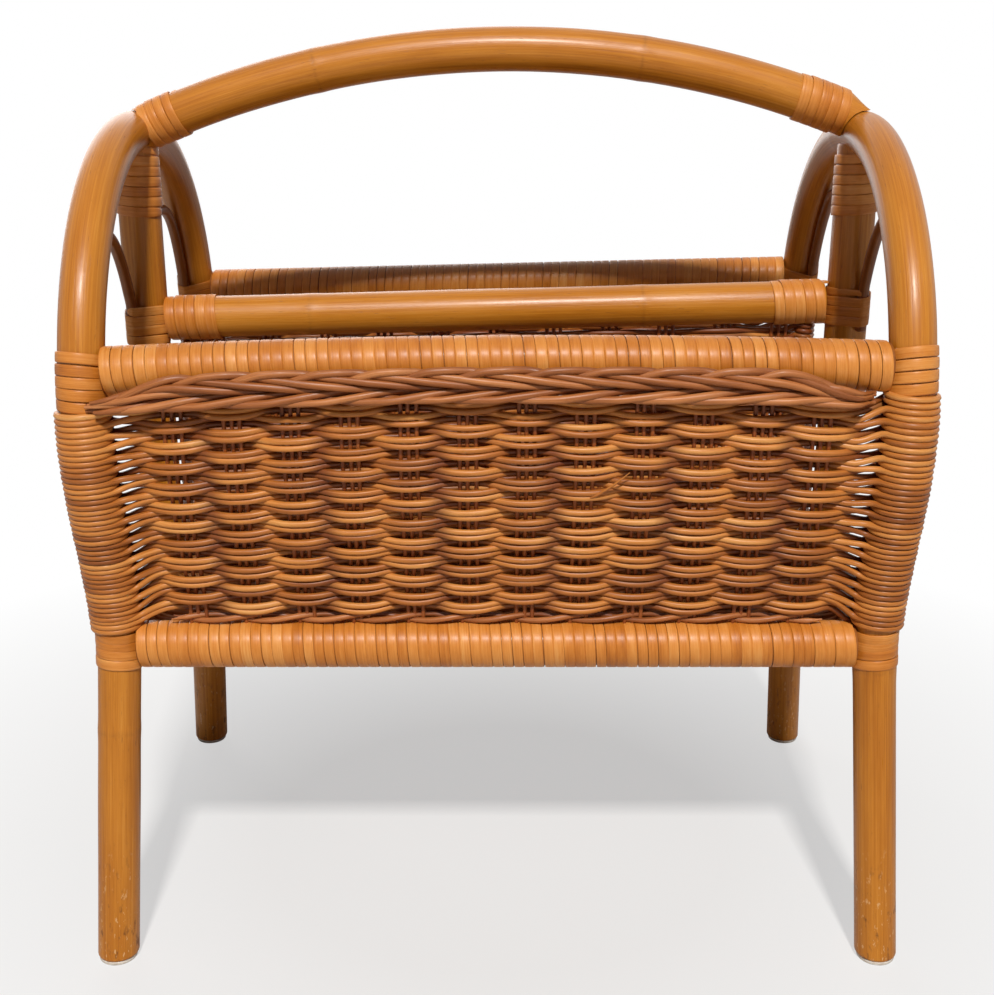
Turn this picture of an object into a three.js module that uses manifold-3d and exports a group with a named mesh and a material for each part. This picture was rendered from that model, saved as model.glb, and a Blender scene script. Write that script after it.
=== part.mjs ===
// A rattan magazine basket. Two bent end hoops are joined by an arched handle, by rails wrapped in
// cane and by woven panels, and a low divider stands along the middle.
// Millimetres, +Z up. The front faces -Y, and the origin is on the floor, under the middle.

import * as THREE from "three";
import { mergeVertices } from "three/addons/utils/BufferGeometryUtils.js";
import Module from "manifold-3d";

// Hoops
const hoopSpan = 410; // between the planes of the two hoops
const poleDiameter = 23;
const archRadius = 139.5; // of a hoop's round top, at the middle of its pole
const archCenterHeight = 308;
const waistHeight = 183; // where the bottom rails meet the poles
const waistInset = 27; // how far in from the round top's widest place the poles are there
const footReach = 20.5; // how far each foot stands out again to the front or back
const footSplay = 10; // how far it stands outside its hoop's plane
const glideDiameter = 21;
const glideThickness = 2.4;

// Handle
const handleDiameter = 24;
const handleBow = 41.8; // from the line between the handle's ends up to its crown
const handleLift = 2.2; // from the hoops' tops up to the middle of that line
const handleTilt = 6.7; // how much higher its right end is than its left end

// Posts and the thin arches beside them
const postDiameter = 24;
const rodDiameter = 6.4;
const rodOutset = 5; // from a hoop's plane out to the rods' plane
const rodArchRise = 47; // from the winding on the post up to a thin arch's top
const rodLegLength = 24; // from there down to a rod's end
const rodSpring = 2; // how much wider than its room a thin arch would be if it were let go

// Rails
const railCoreDiameter = 22;
const topRailOverArch = 30; // from the round tops' centre up to the top rails' left ends
const frontRailRise = 3;
const backRailRise = 9;
const frontRailBow = 4; // how far the front rail's middle stands over its ends
const dividerRailDiameter = 24;
const dividerRailOverArch = 33.5; // from the round tops' centre up to its left end
const dividerRailRise = 10;
const stretcherDiameter = 22;

// Cane strip
const caneRise = 1.3; // how far the middle of a strip stands over its edges
const canePitch = 5.7; // from turn to turn
const broadPitch = 18.6; // from turn to turn along a rail
const caneGap = 0.5; // between two turns
const rimCornerTurns = 4;
const waistCornerTurns = 3;
const handleEndTurns = 5;
const dividerEndTurns = 5;
const postTopTurns = 5;
const postMiddleTurns = 3;
const postMiddleDrop = 2.5; // from the divider rail's middle down to the middle of this winding
const postTopDrop = 3.5; // from a post's top to its upper winding

// Weave
const weaveThickness = 9;
const weaveRelief = 3.3; // how deep a row lies where it passes behind a group of stakes
const firstRowRise = 5.1; // from a side panel's foot to the middle of its lowest row
const lastRowDrop = 9; // from its top down to the middle of its highest row
const panelProud = 3.4; // how far a panel's top edge stands out in front of the poles
const panelEndGap = 1; // from a panel's end to the reed round its pole
const poleReedThickness = 1.4; // of the reed wound round the poles at a panel's ends
const braidHeight = 16;
const braidThickness = 9;
const braidDrop = 5; // from a top rail's middle down to the braid's
const braidEndDrop = 11; // how far the braid's ends come down over the last stretch
const braidEndRun = 40;
const braidLeftInset = 14; // from the middle of the left poles to the braid's end
const braidRightInset = 21;
const twistDiameter = 5;
const twistEndGap = 15; // from the end of the twisted row to the panel's end
const floorThickness = 8;
const dividerThickness = 8;
const dividerEndClearance = 4; // from the divider's woven end to the windings on its post

// Nails
const nailDiameter = 2.8;
const nailHeadDiameter = 6.4;
const nailHeadThickness = 1.2;
const nailDepth = 26; // into the handle

// Clearances
const seatGap = 0.3; // between two pieces that touch
const boreGap = 0.35; // round a nail
const railEndGap = 0.7; // from a rail's end, which isn't quite upright, to the cane on its pole
const bendSlack = 0.45; // more room round a bent pole, which is made of straight pieces
const cutOverrun = 30; // how far a leg runs under its foot before it is cut

// How finely round shapes are cut
const poleSides = 16;
const poleSteps = 46;
const handleSteps = 22;
const rodSides = 6;
const rodSteps = 20;
const railSteps = 6;
const sleeveSides = 12;
const sleeveSteps = 6;
const caneSteps = 10; // straight pieces in each turn
const braidSides = 10;
const braidSteps = 16;
const nailSides = 8;
const archPoints = 6; // on each quarter of a hoop's top
const bodyPoints = 4; // on a pole between waist and arch
const rodPoints = 10; // on a thin arch
const archPowerShare = 2.5; // how square a thin arch's shoulders are, where 2 is a parabola
const panelColumns = 8;
const panelRows = 6;
const stakeGroups = 12; // in a side panel
const weaveRows = 21; // in a side panel, each of two reeds

const halfSpan = hoopSpan / 2;
const poleRadius = poleDiameter / 2;
const postRadius = postDiameter / 2;
const rodRadius = rodDiameter / 2;
const handleRadius = handleDiameter / 2;
const waistHalfDepth = archRadius - waistInset;
const hoopTopHeight = archCenterHeight + archRadius;
const topRailHeight = archCenterHeight + topRailOverArch;
const dividerRailHeight = archCenterHeight + dividerRailOverArch;
const sides = { left: -1, right: 1 };
const faces = { front: -1, back: 1 };

const wasm = await Module();
wasm.setup();

const basket = new THREE.Group();

const materials = {
  pole: new THREE.MeshStandardMaterial({ color: 0xc9822f, roughness: 0.35, metalness: 0 }),
  cane: new THREE.MeshStandardMaterial({ color: 0xd9954a, roughness: 0.4, metalness: 0 }),
  reed: new THREE.MeshStandardMaterial({ color: 0xb06a35, roughness: 0.55, metalness: 0 }),
  weave: new THREE.MeshStandardMaterial({ color: 0xb06a35, roughness: 0.55, flatShading: true }),
  glide: new THREE.MeshStandardMaterial({ color: 0xd8cfc4, roughness: 0.5, metalness: 0 }),
  nail: new THREE.MeshStandardMaterial({ color: 0x4a3320, roughness: 0.45, metalness: 0.8 }),
};

function add(name, geometry, material) {
  const mesh = new THREE.Mesh(geometry, materials[material]);
  mesh.name = name;
  basket.add(mesh);
  return mesh;
}

// A curve in space whose point at a share of its way is given by a function.
class Route extends THREE.Curve {
  constructor(pointAt) {
    super();
    this.pointAt = pointAt;
  }
  getPoint(share, target = new THREE.Vector3()) {
    return target.copy(this.pointAt(share));
  }
}

function smoothStep(share) {
  const x = Math.min(Math.max(share, 0), 1);
  return x * x * (3 - 2 * x);
}

function ring(count, radiusAcross, radiusUp = radiusAcross) {
  return Array.from({ length: count }, (_, i) => {
    const angle = (2 * Math.PI * (i + 0.5)) / count;
    return new THREE.Vector2(radiusAcross * Math.cos(angle), radiusUp * Math.sin(angle));
  });
}

function sweep(shape, route, steps) {
  return new THREE.ExtrudeGeometry(shape, { extrudePath: route, steps, bevelEnabled: false });
}

function rod(route, radius, count, steps) {
  return sweep(new THREE.Shape(ring(count, radius)), route, steps);
}

// The radius that a ring of straight pieces needs to clear a round piece inside it.
function clearRadius(radius, count) {
  return (radius + seatGap) / Math.cos(Math.PI / count);
}

function straight(from, to) {
  return new THREE.LineCurve3(from, to);
}

function toSolid(geometry) {
  const bare = geometry.clone();
  bare.deleteAttribute("normal");
  bare.deleteAttribute("uv");
  const merged = mergeVertices(bare);
  return new wasm.Manifold(
    new wasm.Mesh({
      numProp: 3,
      vertProperties: merged.attributes.position.array,
      triVerts: new Uint32Array(merged.index.array),
    }),
  );
}

function toGeometry(solid) {
  const mesh = solid.getMesh();
  return new THREE.BufferGeometry()
    .setAttribute("position", new THREE.BufferAttribute(mesh.vertProperties, 3))
    .setIndex(new THREE.BufferAttribute(mesh.triVerts, 1));
}

function cut(geometry, ...cutters) {
  return toGeometry(
    cutters.reduce((solid, cutter) => solid.subtract(toSolid(cutter)), toSolid(geometry)),
  );
}

// Poles

// How far a pole's middle is from the basket's middle, front to back, at a height.
function poleDepthAt(height) {
  const overSpring = height - archCenterHeight;
  if (overSpring > 0) return Math.sqrt(archRadius ** 2 - overSpring ** 2);
  if (height < waistHeight) {
    return waistHalfDepth + footReach * (1 - height / waistHeight);
  }
  const up = (height - waistHeight) / (archCenterHeight - waistHeight);
  return waistHalfDepth + (archRadius - waistHalfDepth) * smoothStep(up);
}

function poleSpreadAt(height) {
  return halfSpan + footSplay * Math.max(0, 1 - height / waistHeight);
}

function polePoint(side, face, height) {
  return new THREE.Vector3(side * poleSpreadAt(height), face * poleDepthAt(height), height);
}

function poleStretch(side, face, low, high) {
  return new Route((share) => polePoint(side, face, low + (high - low) * share));
}

function hoopRoute(side) {
  const front = [];
  front.push(polePoint(side, faces.front, -cutOverrun), polePoint(side, faces.front, 0));
  front.push(polePoint(side, faces.front, waistHeight / 2));
  for (let i = 0; i <= bodyPoints; i++) {
    const share = i / bodyPoints;
    front.push(
      polePoint(side, faces.front, waistHeight + (archCenterHeight - waistHeight) * share),
    );
  }
  for (let i = 1; i < archPoints; i++) {
    const angle = ((Math.PI / 2) * i) / archPoints;
    const height = archCenterHeight + archRadius * Math.sin(angle);
    front.push(polePoint(side, faces.front, height));
  }
  const top = new THREE.Vector3(side * halfSpan, 0, hoopTopHeight);
  const back = front.map((point) => new THREE.Vector3(point.x, -point.y, point.z)).reverse();
  return new THREE.CatmullRomCurve3([...front, top, ...back], false, "centripetal");
}

// Handle

// The handle is part of a circle from the top of one hoop to the top of the other. Its ends are
// hollowed out to sit against the hoops.
const halfChord = Math.hypot(hoopSpan, handleTilt) / 2;
const handleArcRadius = (halfChord ** 2 + handleBow ** 2) / (2 * handleBow);
const handleTiltAngle = Math.atan2(handleTilt, hoopSpan);
const handleCenterDrop = handleArcRadius - handleBow;
const handleCenter = {
  x: handleCenterDrop * Math.sin(handleTiltAngle),
  z: hoopTopHeight + handleLift - handleCenterDrop * Math.cos(handleTiltAngle),
};

function handleEndAngle(side) {
  return side * Math.asin(halfChord / handleArcRadius) - handleTiltAngle;
}

function handleFrame(angle) {
  const out = new THREE.Vector3(Math.sin(angle), 0, Math.cos(angle));
  const along = new THREE.Vector3(Math.cos(angle), 0, -Math.sin(angle));
  const point = out.clone().multiplyScalar(handleArcRadius);
  point.x += handleCenter.x;
  point.z += handleCenter.z;
  return { point, along };
}

function handleRoute() {
  const first = handleEndAngle(sides.left);
  const last = handleEndAngle(sides.right);
  return new Route((share) => handleFrame(first + (last - first) * share).point);
}

// Each handle nail goes in through the hoop and along the handle's own line.
function handleNail(side) {
  const { point, along } = handleFrame(handleEndAngle(side));
  const outward = along.clone().multiplyScalar(side);
  const hoopTop = new THREE.Vector3(side * halfSpan, 0, hoopTopHeight);
  const tipDepth = poleRadius + nailDepth;
  const tipWay = hoopTop.sub(point).dot(outward) - tipDepth;
  return {
    from: point.clone().addScaledVector(outward, tipWay),
    outward,
    length: tipDepth + poleRadius + seatGap,
  };
}

// A nail along an axis: its tip lies at the start and its head at the end.
function nailGeometry({ from, outward, length }) {
  const profile = [
    [0, 0],
    [nailDiameter / 2, 0],
    [nailDiameter / 2, length],
    [nailHeadDiameter / 2, length],
    [nailHeadDiameter / 2, length + nailHeadThickness],
    [0, length + nailHeadThickness],
  ];
  const points = profile.map(([across, along]) => new THREE.Vector2(across, along));
  return aim(new THREE.LatheGeometry(points, nailSides), from, outward);
}

// The hole for a nail, which starts a little before its tip and runs out past its head.
function nailBore({ from, outward, length }) {
  const radius = clearRadius(nailDiameter / 2 + boreGap - seatGap, nailSides);
  const bore = new THREE.CylinderGeometry(radius, radius, length + poleDiameter, nailSides);
  bore.translate(0, (length + poleDiameter) / 2 - boreGap, 0);
  return aim(bore, from, outward);
}

function aim(geometry, from, direction) {
  const up = new THREE.Vector3(0, 1, 0);
  const turn = new THREE.Quaternion().setFromUnitVectors(up, direction.clone().normalize());
  return geometry.applyQuaternion(turn).translate(from.x, from.y, from.z);
}

function buildHoops() {
  const slab = new THREE.BoxGeometry(hoopSpan, 2 * archRadius + hoopSpan, 2 * cutOverrun);
  for (const [name, side] of Object.entries(sides)) {
    const nail = handleNail(side);
    const floor = slab.clone();
    floor.translate(side * halfSpan, 0, glideThickness + seatGap - cutOverrun);
    const pole = rod(hoopRoute(side), poleRadius, poleSides, poleSteps);
    add(`${name}_hoop`, cut(pole, floor, nailBore(nail)), "pole");
    add(`${name}_handle_nail`, nailGeometry(nail), "nail");
    for (const [faceName, face] of Object.entries(faces)) {
      const foot = polePoint(side, face, 0);
      const radius = glideDiameter / 2;
      const glide = new THREE.CylinderGeometry(radius, radius, glideThickness, poleSides);
      glide.rotateX(Math.PI / 2).translate(foot.x, foot.y, glideThickness / 2);
      add(`${faceName}_${name}_glide`, glide, "glide");
    }
  }
}

function buildHandle() {
  const cutters = Object.values(sides).flatMap((side) => {
    const hollow = rod(hoopRoute(side), clearRadius(poleRadius, poleSides), poleSides, poleSteps);
    return [hollow, nailBore(handleNail(side))];
  });
  const pole = rod(handleRoute(), handleRadius, poleSides, handleSteps);
  add("handle", cut(pole, ...cutters), "pole");
}

// Rails. Their ends stop at the cane on the poles, so its radius comes first.

const poleCaneRadius = clearRadius(poleRadius + bendSlack, caneSteps) + caneRise;
const railRadius = railCoreDiameter / 2;
const railWrapRadius = clearRadius(railRadius, caneSteps) + caneRise;
const railWrapFlatRadius = railWrapRadius * Math.cos(Math.PI / caneSteps);
const railReach = halfSpan - poleCaneRadius - railEndGap;

const topRails = {
  front: { rise: frontRailRise, bow: frontRailBow },
  back: { rise: backRailRise, bow: 0 },
};

function topRailHeightAt(face, x) {
  const { rise, bow } = topRails[face < 0 ? "front" : "back"];
  const share = (x + railReach) / (2 * railReach);
  return topRailHeight + rise * share + 4 * bow * share * (1 - share);
}

function topRailDepth(face) {
  return poleDepthAt(topRailHeightAt(face, 0));
}

function railRoute(reach, pointAt) {
  return new Route((share) => pointAt(-reach + 2 * reach * share));
}

function topRailRoute(face) {
  const depth = topRailDepth(face);
  return railRoute(
    railReach,
    (x) => new THREE.Vector3(x, face * depth, topRailHeightAt(face, x)),
  );
}

function bottomRailRoute(face) {
  return railRoute(railReach, (x) => new THREE.Vector3(x, face * waistHalfDepth, waistHeight));
}

function dividerRailHeightAt(x) {
  return dividerRailHeight + (dividerRailRise * (x + railReach)) / (2 * railReach);
}

// How far in front of the middle of a post or pole the rod beside it lies.
function rodOffset(radius) {
  return Math.sqrt((radius + rodRadius + seatGap) ** 2 - rodOutset ** 2);
}

// A post or a pole and the rods bound to it, seen from above.
function bundle(side, radius, ...faceList) {
  const rods = faceList.map((face) => ({
    x: side * rodOutset,
    y: face * rodOffset(radius),
    radius: rodRadius,
  }));
  return [{ x: 0, y: 0, radius }, ...rods];
}

const hoopInsideRadius = archRadius - poleRadius - bendSlack - seatGap;
const postTopHeight = archCenterHeight + Math.sqrt(hoopInsideRadius ** 2 - postRadius ** 2);
const dividerReach = halfSpan - clearRadius(postRadius, caneSteps) - caneRise - railEndGap;

function buildRails() {
  for (const [name, face] of Object.entries(faces)) {
    add(`${name}_top_rail`, rod(topRailRoute(face), railRadius, poleSides, railSteps), "pole");
    add(`${name}_bottom_rail`, rod(bottomRailRoute(face), railRadius, poleSides, 1), "pole");
  }
  const reach = waistHalfDepth - poleCaneRadius - seatGap;
  for (const [name, side] of Object.entries(sides)) {
    const route = straight(
      new THREE.Vector3(side * halfSpan, -reach, waistHeight),
      new THREE.Vector3(side * halfSpan, reach, waistHeight),
    );
    add(`${name}_bottom_stretcher`, rod(route, stretcherDiameter / 2, poleSides, 1), "pole");
  }
}

function dividerRailRoute() {
  const ends = [-dividerReach, dividerReach].map(
    (x) => new THREE.Vector3(x, 0, dividerRailHeightAt(x)),
  );
  return straight(...ends);
}

// Each post stands on its stretcher and holds up the top of its hoop.
function buildPostsAndDividerRail() {
  for (const [name, side] of Object.entries(sides)) {
    const route = straight(
      new THREE.Vector3(side * halfSpan, 0, waistHeight + stretcherDiameter / 2 + seatGap),
      new THREE.Vector3(side * halfSpan, 0, postTopHeight),
    );
    add(`${name}_center_post`, rod(route, postRadius, poleSides, 1), "pole");
  }
  add("divider_rail", rod(dividerRailRoute(), dividerRailDiameter / 2, poleSides, 1), "pole");
}

// How far from the basket's middle a piece lies that keeps some room inside a pole's middle.
function insideDepthAt(height, room) {
  const overSpring = height - archCenterHeight;
  if (overSpring < 0) return poleDepthAt(height) - room;
  return Math.sqrt(Math.max(0, (archRadius - room) ** 2 - overSpring ** 2));
}

function postWrapMiddle(side) {
  return dividerRailHeightAt(side * dividerReach) - postMiddleDrop;
}

// A thin rod bent into an arch between a pole and the post, in front of it or behind it. It is
// sprung against the pole, so it lies along the pole's inside until its own curve leads it away.
function thinArchRoute(side, face) {
  const x = side * (halfSpan + rodOutset);
  const spring = postWrapMiddle(side) + ((postMiddleTurns + 1) * canePitch) / 2;
  const room = rodOffset(poleRadius) + bendSlack;
  const postLeg = rodOffset(postRadius);
  const half = (insideDepthAt(spring, room) + rodSpring - postLeg) / 2;
  const legHeights = [spring - rodLegLength, spring - rodLegLength / 2];
  const points = legHeights.map(
    (height) => new THREE.Vector3(x, face * insideDepthAt(height, room), height),
  );
  for (let i = 0; i <= rodPoints; i++) {
    const across = Math.cos((Math.PI * i) / rodPoints);
    const height = spring + rodArchRise * (1 - Math.abs(across) ** archPowerShare);
    const depth = Math.min(postLeg + half * (1 + across), insideDepthAt(height, room));
    points.push(new THREE.Vector3(x, face * depth, height));
  }
  for (const height of legHeights.toReversed()) {
    points.push(new THREE.Vector3(x, face * postLeg, height));
  }
  return new THREE.CatmullRomCurve3(points, false, "centripetal");
}

function buildThinArches() {
  for (const [name, side] of Object.entries(sides)) {
    for (const [faceName, face] of Object.entries(faces)) {
      const route = thinArchRoute(side, face);
      add(`${name}_${faceName}_thin_arch`, rod(route, rodRadius, rodSides, rodSteps), "pole");
    }
  }
}

// Cane windings

// One unbroken cane strip wound round a route. holdAt gives the strip's edge, seen along the
// route, for an angle, and normal is the direction that the route's plane faces.
function woundStrip(name, { route, start, turns, pitch, holdAt, normal }) {
  const length = route.getLength();
  const width = pitch - caneGap;
  const frameAt = (way) => {
    const share = Math.min(Math.max(way / length, 0), 1);
    const along = route.getTangentAt(share);
    const point = route.getPointAt(share).addScaledVector(along, way - share * length);
    return { point, up: new THREE.Vector3().crossVectors(along, normal).normalize() };
  };
  const pointAt = (way, angle, rise) => {
    const { point, up } = frameAt(way);
    const hold = holdAt(angle, rise);
    return point.addScaledVector(normal, hold.x).addScaledVector(up, hold.y);
  };
  const rings = [];
  for (let i = 0; i <= turns * caneSteps; i++) {
    const way = start + (pitch * i) / caneSteps;
    const angle = (2 * Math.PI * i) / caneSteps;
    rings.push([
      pointAt(way - width / 2, angle, 0),
      pointAt(way, angle, caneRise),
      pointAt(way + width / 2, angle, 0),
    ]);
  }
  console.log(`${name}: least gap to itself ${leastGap(rings).toFixed(2)} mm`);
  add(name, stripGeometry(rings), "cane");
}

// The least distance between points of a strip that lie half a turn or more apart along it.
function leastGap(rings) {
  let least = Infinity;
  rings.forEach((one, i) => {
    for (const other of rings.slice(i + caneSteps / 2)) {
      for (const a of one) for (const b of other) least = Math.min(least, a.distanceTo(b));
    }
  });
  return least;
}

function stripGeometry(rings) {
  const corners = rings[0].length;
  const positions = rings.flat().flatMap((point) => point.toArray());
  const index = [];
  for (let i = 0; i + 1 < rings.length; i++) {
    for (let j = 0; j < corners; j++) {
      const a = i * corners + j;
      const b = i * corners + ((j + 1) % corners);
      index.push(a, a + corners, b, b, a + corners, b + corners);
    }
  }
  const last = (rings.length - 1) * corners;
  for (let j = 1; j + 1 < corners; j++) {
    index.push(0, j, j + 1);
    index.push(last, last + j + 1, last + j);
  }
  return faceOut(positions, index);
}

// Builds a closed mesh, and turns its triangles round if they face in.
function faceOut(positions, index) {
  const geometry = new THREE.BufferGeometry();
  geometry.setAttribute("position", new THREE.Float32BufferAttribute(positions, 3));
  const corner = (i) => new THREE.Vector3().fromArray(positions, 3 * index[i]);
  let volume = 0;
  for (let i = 0; i < index.length; i += 3) {
    volume += corner(i).dot(corner(i + 1).cross(corner(i + 2)));
  }
  geometry.setIndex(volume > 0 ? index : index.toReversed());
  return geometry;
}

function roundHold(radius) {
  const base = clearRadius(radius, caneSteps);
  return (angle, rise) => ({
    x: (base + rise) * Math.cos(angle),
    y: (base + rise) * Math.sin(angle),
  });
}

// The strip lies on whichever round piece of a bundle reaches furthest in each direction.
function bundleHold(pieces, slack) {
  const room = clearRadius(pieces[0].radius, caneSteps) - pieces[0].radius + slack;
  return (angle, rise) => {
    const x = Math.cos(angle);
    const y = Math.sin(angle);
    const reach = (piece) => piece.x * x + piece.y * y + piece.radius;
    const piece = pieces.reduce((best, next) => (reach(next) > reach(best) ? next : best));
    const radius = piece.radius + room + rise;
    return { x: piece.x + radius * x, y: piece.y + radius * y };
  };
}

const alongX = new THREE.Vector3(1, 0, 0);
const alongY = new THREE.Vector3(0, 1, 0);

function buildRailWindings() {
  const turns = Math.floor((2 * railReach) / broadPitch);
  const pitch = (2 * railReach - 2 * seatGap) / turns;
  const strip = { turns: turns - 1, pitch, holdAt: roundHold(railRadius), normal: alongY };
  for (const [name, face] of Object.entries(faces)) {
    for (const [level, route] of [["top", topRailRoute(face)], ["bottom", bottomRailRoute(face)]]) {
      const start = (route.getLength() - pitch * strip.turns) / 2;
      woundStrip(`${name}_${level}_rail_cane`, { ...strip, route, start });
    }
  }
}

function buildCornerWindings() {
  for (const [name, side] of Object.entries(sides)) {
    for (const [faceName, face] of Object.entries(faces)) {
      const rimHeight = topRailHeightAt(face, side * railReach);
      const corners = {
        rim: [rimHeight, rimCornerTurns, bundleHold(bundle(side, poleRadius, -face), bendSlack)],
        waist: [waistHeight, waistCornerTurns, roundHold(poleRadius + bendSlack)],
      };
      for (const [level, [height, turns, holdAt]] of Object.entries(corners)) {
        const half = (turns * canePitch) / 2;
        const route = poleStretch(side, face, height - 2 * half, height + 2 * half);
        const start = route.getLength() / 2 - half;
        const strip = { route, start, turns, pitch: canePitch, holdAt, normal: alongX };
        woundStrip(`${faceName}_${name}_${level}_cane`, strip);
      }
    }
  }
}

function buildHandleWindings() {
  const route = handleRoute();
  const stretch = handleEndTurns * canePitch;
  const inset = poleRadius + seatGap + canePitch / 2;
  const starts = { left: inset, right: route.getLength() - stretch - inset };
  for (const name of Object.keys(sides)) {
    woundStrip(`${name}_handle_cane`, {
      route,
      start: starts[name],
      turns: handleEndTurns,
      pitch: canePitch,
      holdAt: roundHold(handleRadius),
      normal: alongY,
    });
  }
}

function buildDividerWindings() {
  const route = dividerRailRoute();
  const stretch = dividerEndTurns * canePitch;
  const starts = { left: canePitch / 2, right: route.getLength() - stretch - canePitch / 2 };
  for (const name of Object.keys(sides)) {
    woundStrip(`${name}_divider_cane`, {
      route,
      start: starts[name],
      turns: dividerEndTurns,
      pitch: canePitch,
      holdAt: roundHold(dividerRailDiameter / 2),
      normal: alongY,
    });
  }
}

function buildPostWindings() {
  const topStretch = postTopTurns * canePitch;
  const middleStretch = postMiddleTurns * canePitch;
  for (const [name, side] of Object.entries(sides)) {
    const pieces = bundle(side, postRadius, faces.front, faces.back);
    const levels = {
      top: [postTopHeight - postTopDrop - topStretch, postTopTurns, roundHold(postRadius)],
      middle: [postWrapMiddle(side) - middleStretch / 2, postMiddleTurns, bundleHold(pieces, 0)],
    };
    for (const [level, [low, turns, holdAt]] of Object.entries(levels)) {
      const route = straight(
        new THREE.Vector3(side * halfSpan, 0, low),
        new THREE.Vector3(side * halfSpan, 0, low + turns * canePitch),
      );
      const strip = { route, start: 0, turns, pitch: canePitch, holdAt, normal: alongX };
      woundStrip(`${name}_post_${level}_cane`, strip);
    }
  }
}

// Woven pieces, as closed solids of their outer shape. The side panels keep the main relief of
// their weave.

function evenShares(steps) {
  return Array.from({ length: steps + 1 }, (_, step) => step / steps);
}

// A slab between two faces, on a grid of shares across and up. pointAt gives the slab's middle for
// a pair of shares, and across is the direction of its thickness. hollowAt gives how deep a face is
// hollowed at a grid point, where way is 1 for the face that across points to and -1 for the other.
function slabGeometry(columnShares, rowShares, pointAt, across, thickness, hollowAt = () => 0) {
  const positions = [];
  for (const way of [-1, 1]) {
    for (const [row, rowShare] of rowShares.entries()) {
      for (const [column, columnShare] of columnShares.entries()) {
        const offset = way * (thickness / 2 - hollowAt(column, row, way));
        const point = pointAt(columnShare, rowShare).addScaledVector(across, offset);
        positions.push(...point.toArray());
      }
    }
  }
  const columns = columnShares.length - 1;
  const rows = rowShares.length - 1;
  const wide = columns + 1;
  const layer = wide * (rows + 1);
  const index = [];
  const quad = (a, b, c, d) => index.push(a, b, c, a, c, d);
  for (let row = 0; row < rows; row++) {
    for (let column = 0; column < columns; column++) {
      const a = row * wide + column;
      quad(a, a + 1, a + wide + 1, a + wide);
      quad(a + layer, a + layer + wide, a + layer + wide + 1, a + layer + 1);
    }
  }
  for (let column = 0; column < columns; column++) {
    const top = rows * wide + column;
    quad(column, column + layer, column + layer + 1, column + 1);
    quad(top, top + 1, top + layer + 1, top + layer);
  }
  for (let row = 0; row < rows; row++) {
    const left = row * wide;
    const right = left + columns;
    quad(left, left + wide, left + wide + layer, left + layer);
    quad(right, right + layer, right + wide + layer, right + wide);
  }
  return faceOut(positions, index);
}

const reedBore = clearRadius(poleRadius + bendSlack, sleeveSides);
const reedOuter = reedBore + poleReedThickness;
const panelReach = halfSpan - Math.max(reedOuter, poleCaneRadius) - panelEndGap;
const twistHeight = waistHeight + railWrapRadius + seatGap + twistDiameter / 2;
const panelFoot = twistHeight + twistDiameter / 2 + seatGap;

function panelTopAt(face, x) {
  return topRailHeightAt(face, x) - railWrapRadius - seatGap;
}

function panelDepthAt(height, top) {
  const up = (height - panelFoot) / (top - panelFoot);
  return poleDepthAt(height) + panelProud * up;
}

// A side panel's rows pass outside one group of stakes and inside the next, so each of its faces is
// hollowed where a row lies at the other face. The first and the last share are its foot and its top.
function sidePanelGeometry(face) {
  const pointAt = (column, row) => {
    const x = panelReach * (2 * column - 1);
    const top = panelTopAt(face, x);
    const height = panelFoot + (top - panelFoot) * row;
    return new THREE.Vector3(x, face * panelDepthAt(height, top), height);
  };
  const fullHeight = panelTopAt(face, 0) - panelFoot;
  const woven = fullHeight - firstRowRise - lastRowDrop;
  const rowShares = evenShares(weaveRows - 1).map((share) => (firstRowRise + woven * share) / fullHeight);
  const hollowAt = (column, row, way) => {
    const atEdge = row === 0 || row === weaveRows + 1;
    const outside = (column + row) % 2 === 1;
    return !atEdge && outside !== (way === face) ? weaveRelief : 0;
  };
  const columnShares = evenShares(stakeGroups + 1);
  return slabGeometry(columnShares, [0, ...rowShares, 1], pointAt, alongY, weaveThickness, hollowAt);
}

function buildSidePanels() {
  for (const [name, face] of Object.entries(faces)) {
    add(`${name}_panel`, sidePanelGeometry(face), "weave");
  }
}

// The reed that runs on from the panels and round the poles.
function buildPoleReed() {
  const section = new THREE.Shape(ring(sleeveSides, reedOuter));
  section.holes.push(new THREE.Path(ring(sleeveSides, reedBore)));
  const waistHalf = (waistCornerTurns + 1) * (canePitch / 2);
  const rimHalf = (rimCornerTurns + 1) * (canePitch / 2);
  for (const [name, side] of Object.entries(sides)) {
    for (const [faceName, face] of Object.entries(faces)) {
      const rim = topRailHeightAt(face, side * railReach);
      const low = waistHeight + waistHalf + seatGap;
      const route = poleStretch(side, face, low, rim - rimHalf - seatGap);
      add(`${faceName}_${name}_pole_reed`, sweep(section, route, sleeveSteps), "reed");
    }
  }
}

// The braided border lies against the outside of its top rail or of the panel under it, whichever
// stands out further, and its ends come down.
function buildBraids() {
  const halfThickness = (braidThickness / 2) * Math.cos(Math.PI / braidSides);
  for (const [name, face] of Object.entries(faces)) {
    const top = panelTopAt(face, 0);
    const braidFoot = topRailHeightAt(face, 0) - braidDrop - braidEndDrop - braidHeight / 2;
    const panelFaces = [top, braidFoot].map(
      (height) => panelDepthAt(height, top) + weaveThickness / 2,
    );
    const seat = Math.max(topRailDepth(face) + railWrapFlatRadius, ...panelFaces);
    const depth = seat + seatGap + halfThickness;
    const middle = (braidLeftInset - braidRightInset) / 2;
    const half = halfSpan - (braidLeftInset + braidRightInset) / 2;
    const route = new Route((share) => {
      const x = middle + half * (2 * share - 1);
      const toEnd = half - Math.abs(x - middle);
      const drop = braidDrop + braidEndDrop * (1 - smoothStep(toEnd / braidEndRun));
      return new THREE.Vector3(x, face * depth, topRailHeightAt(face, x) - drop);
    });
    const section = new THREE.Shape(ring(braidSides, braidThickness / 2, braidHeight / 2));
    add(`${name}_braid`, sweep(section, route, braidSteps), "reed");
  }
}

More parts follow.
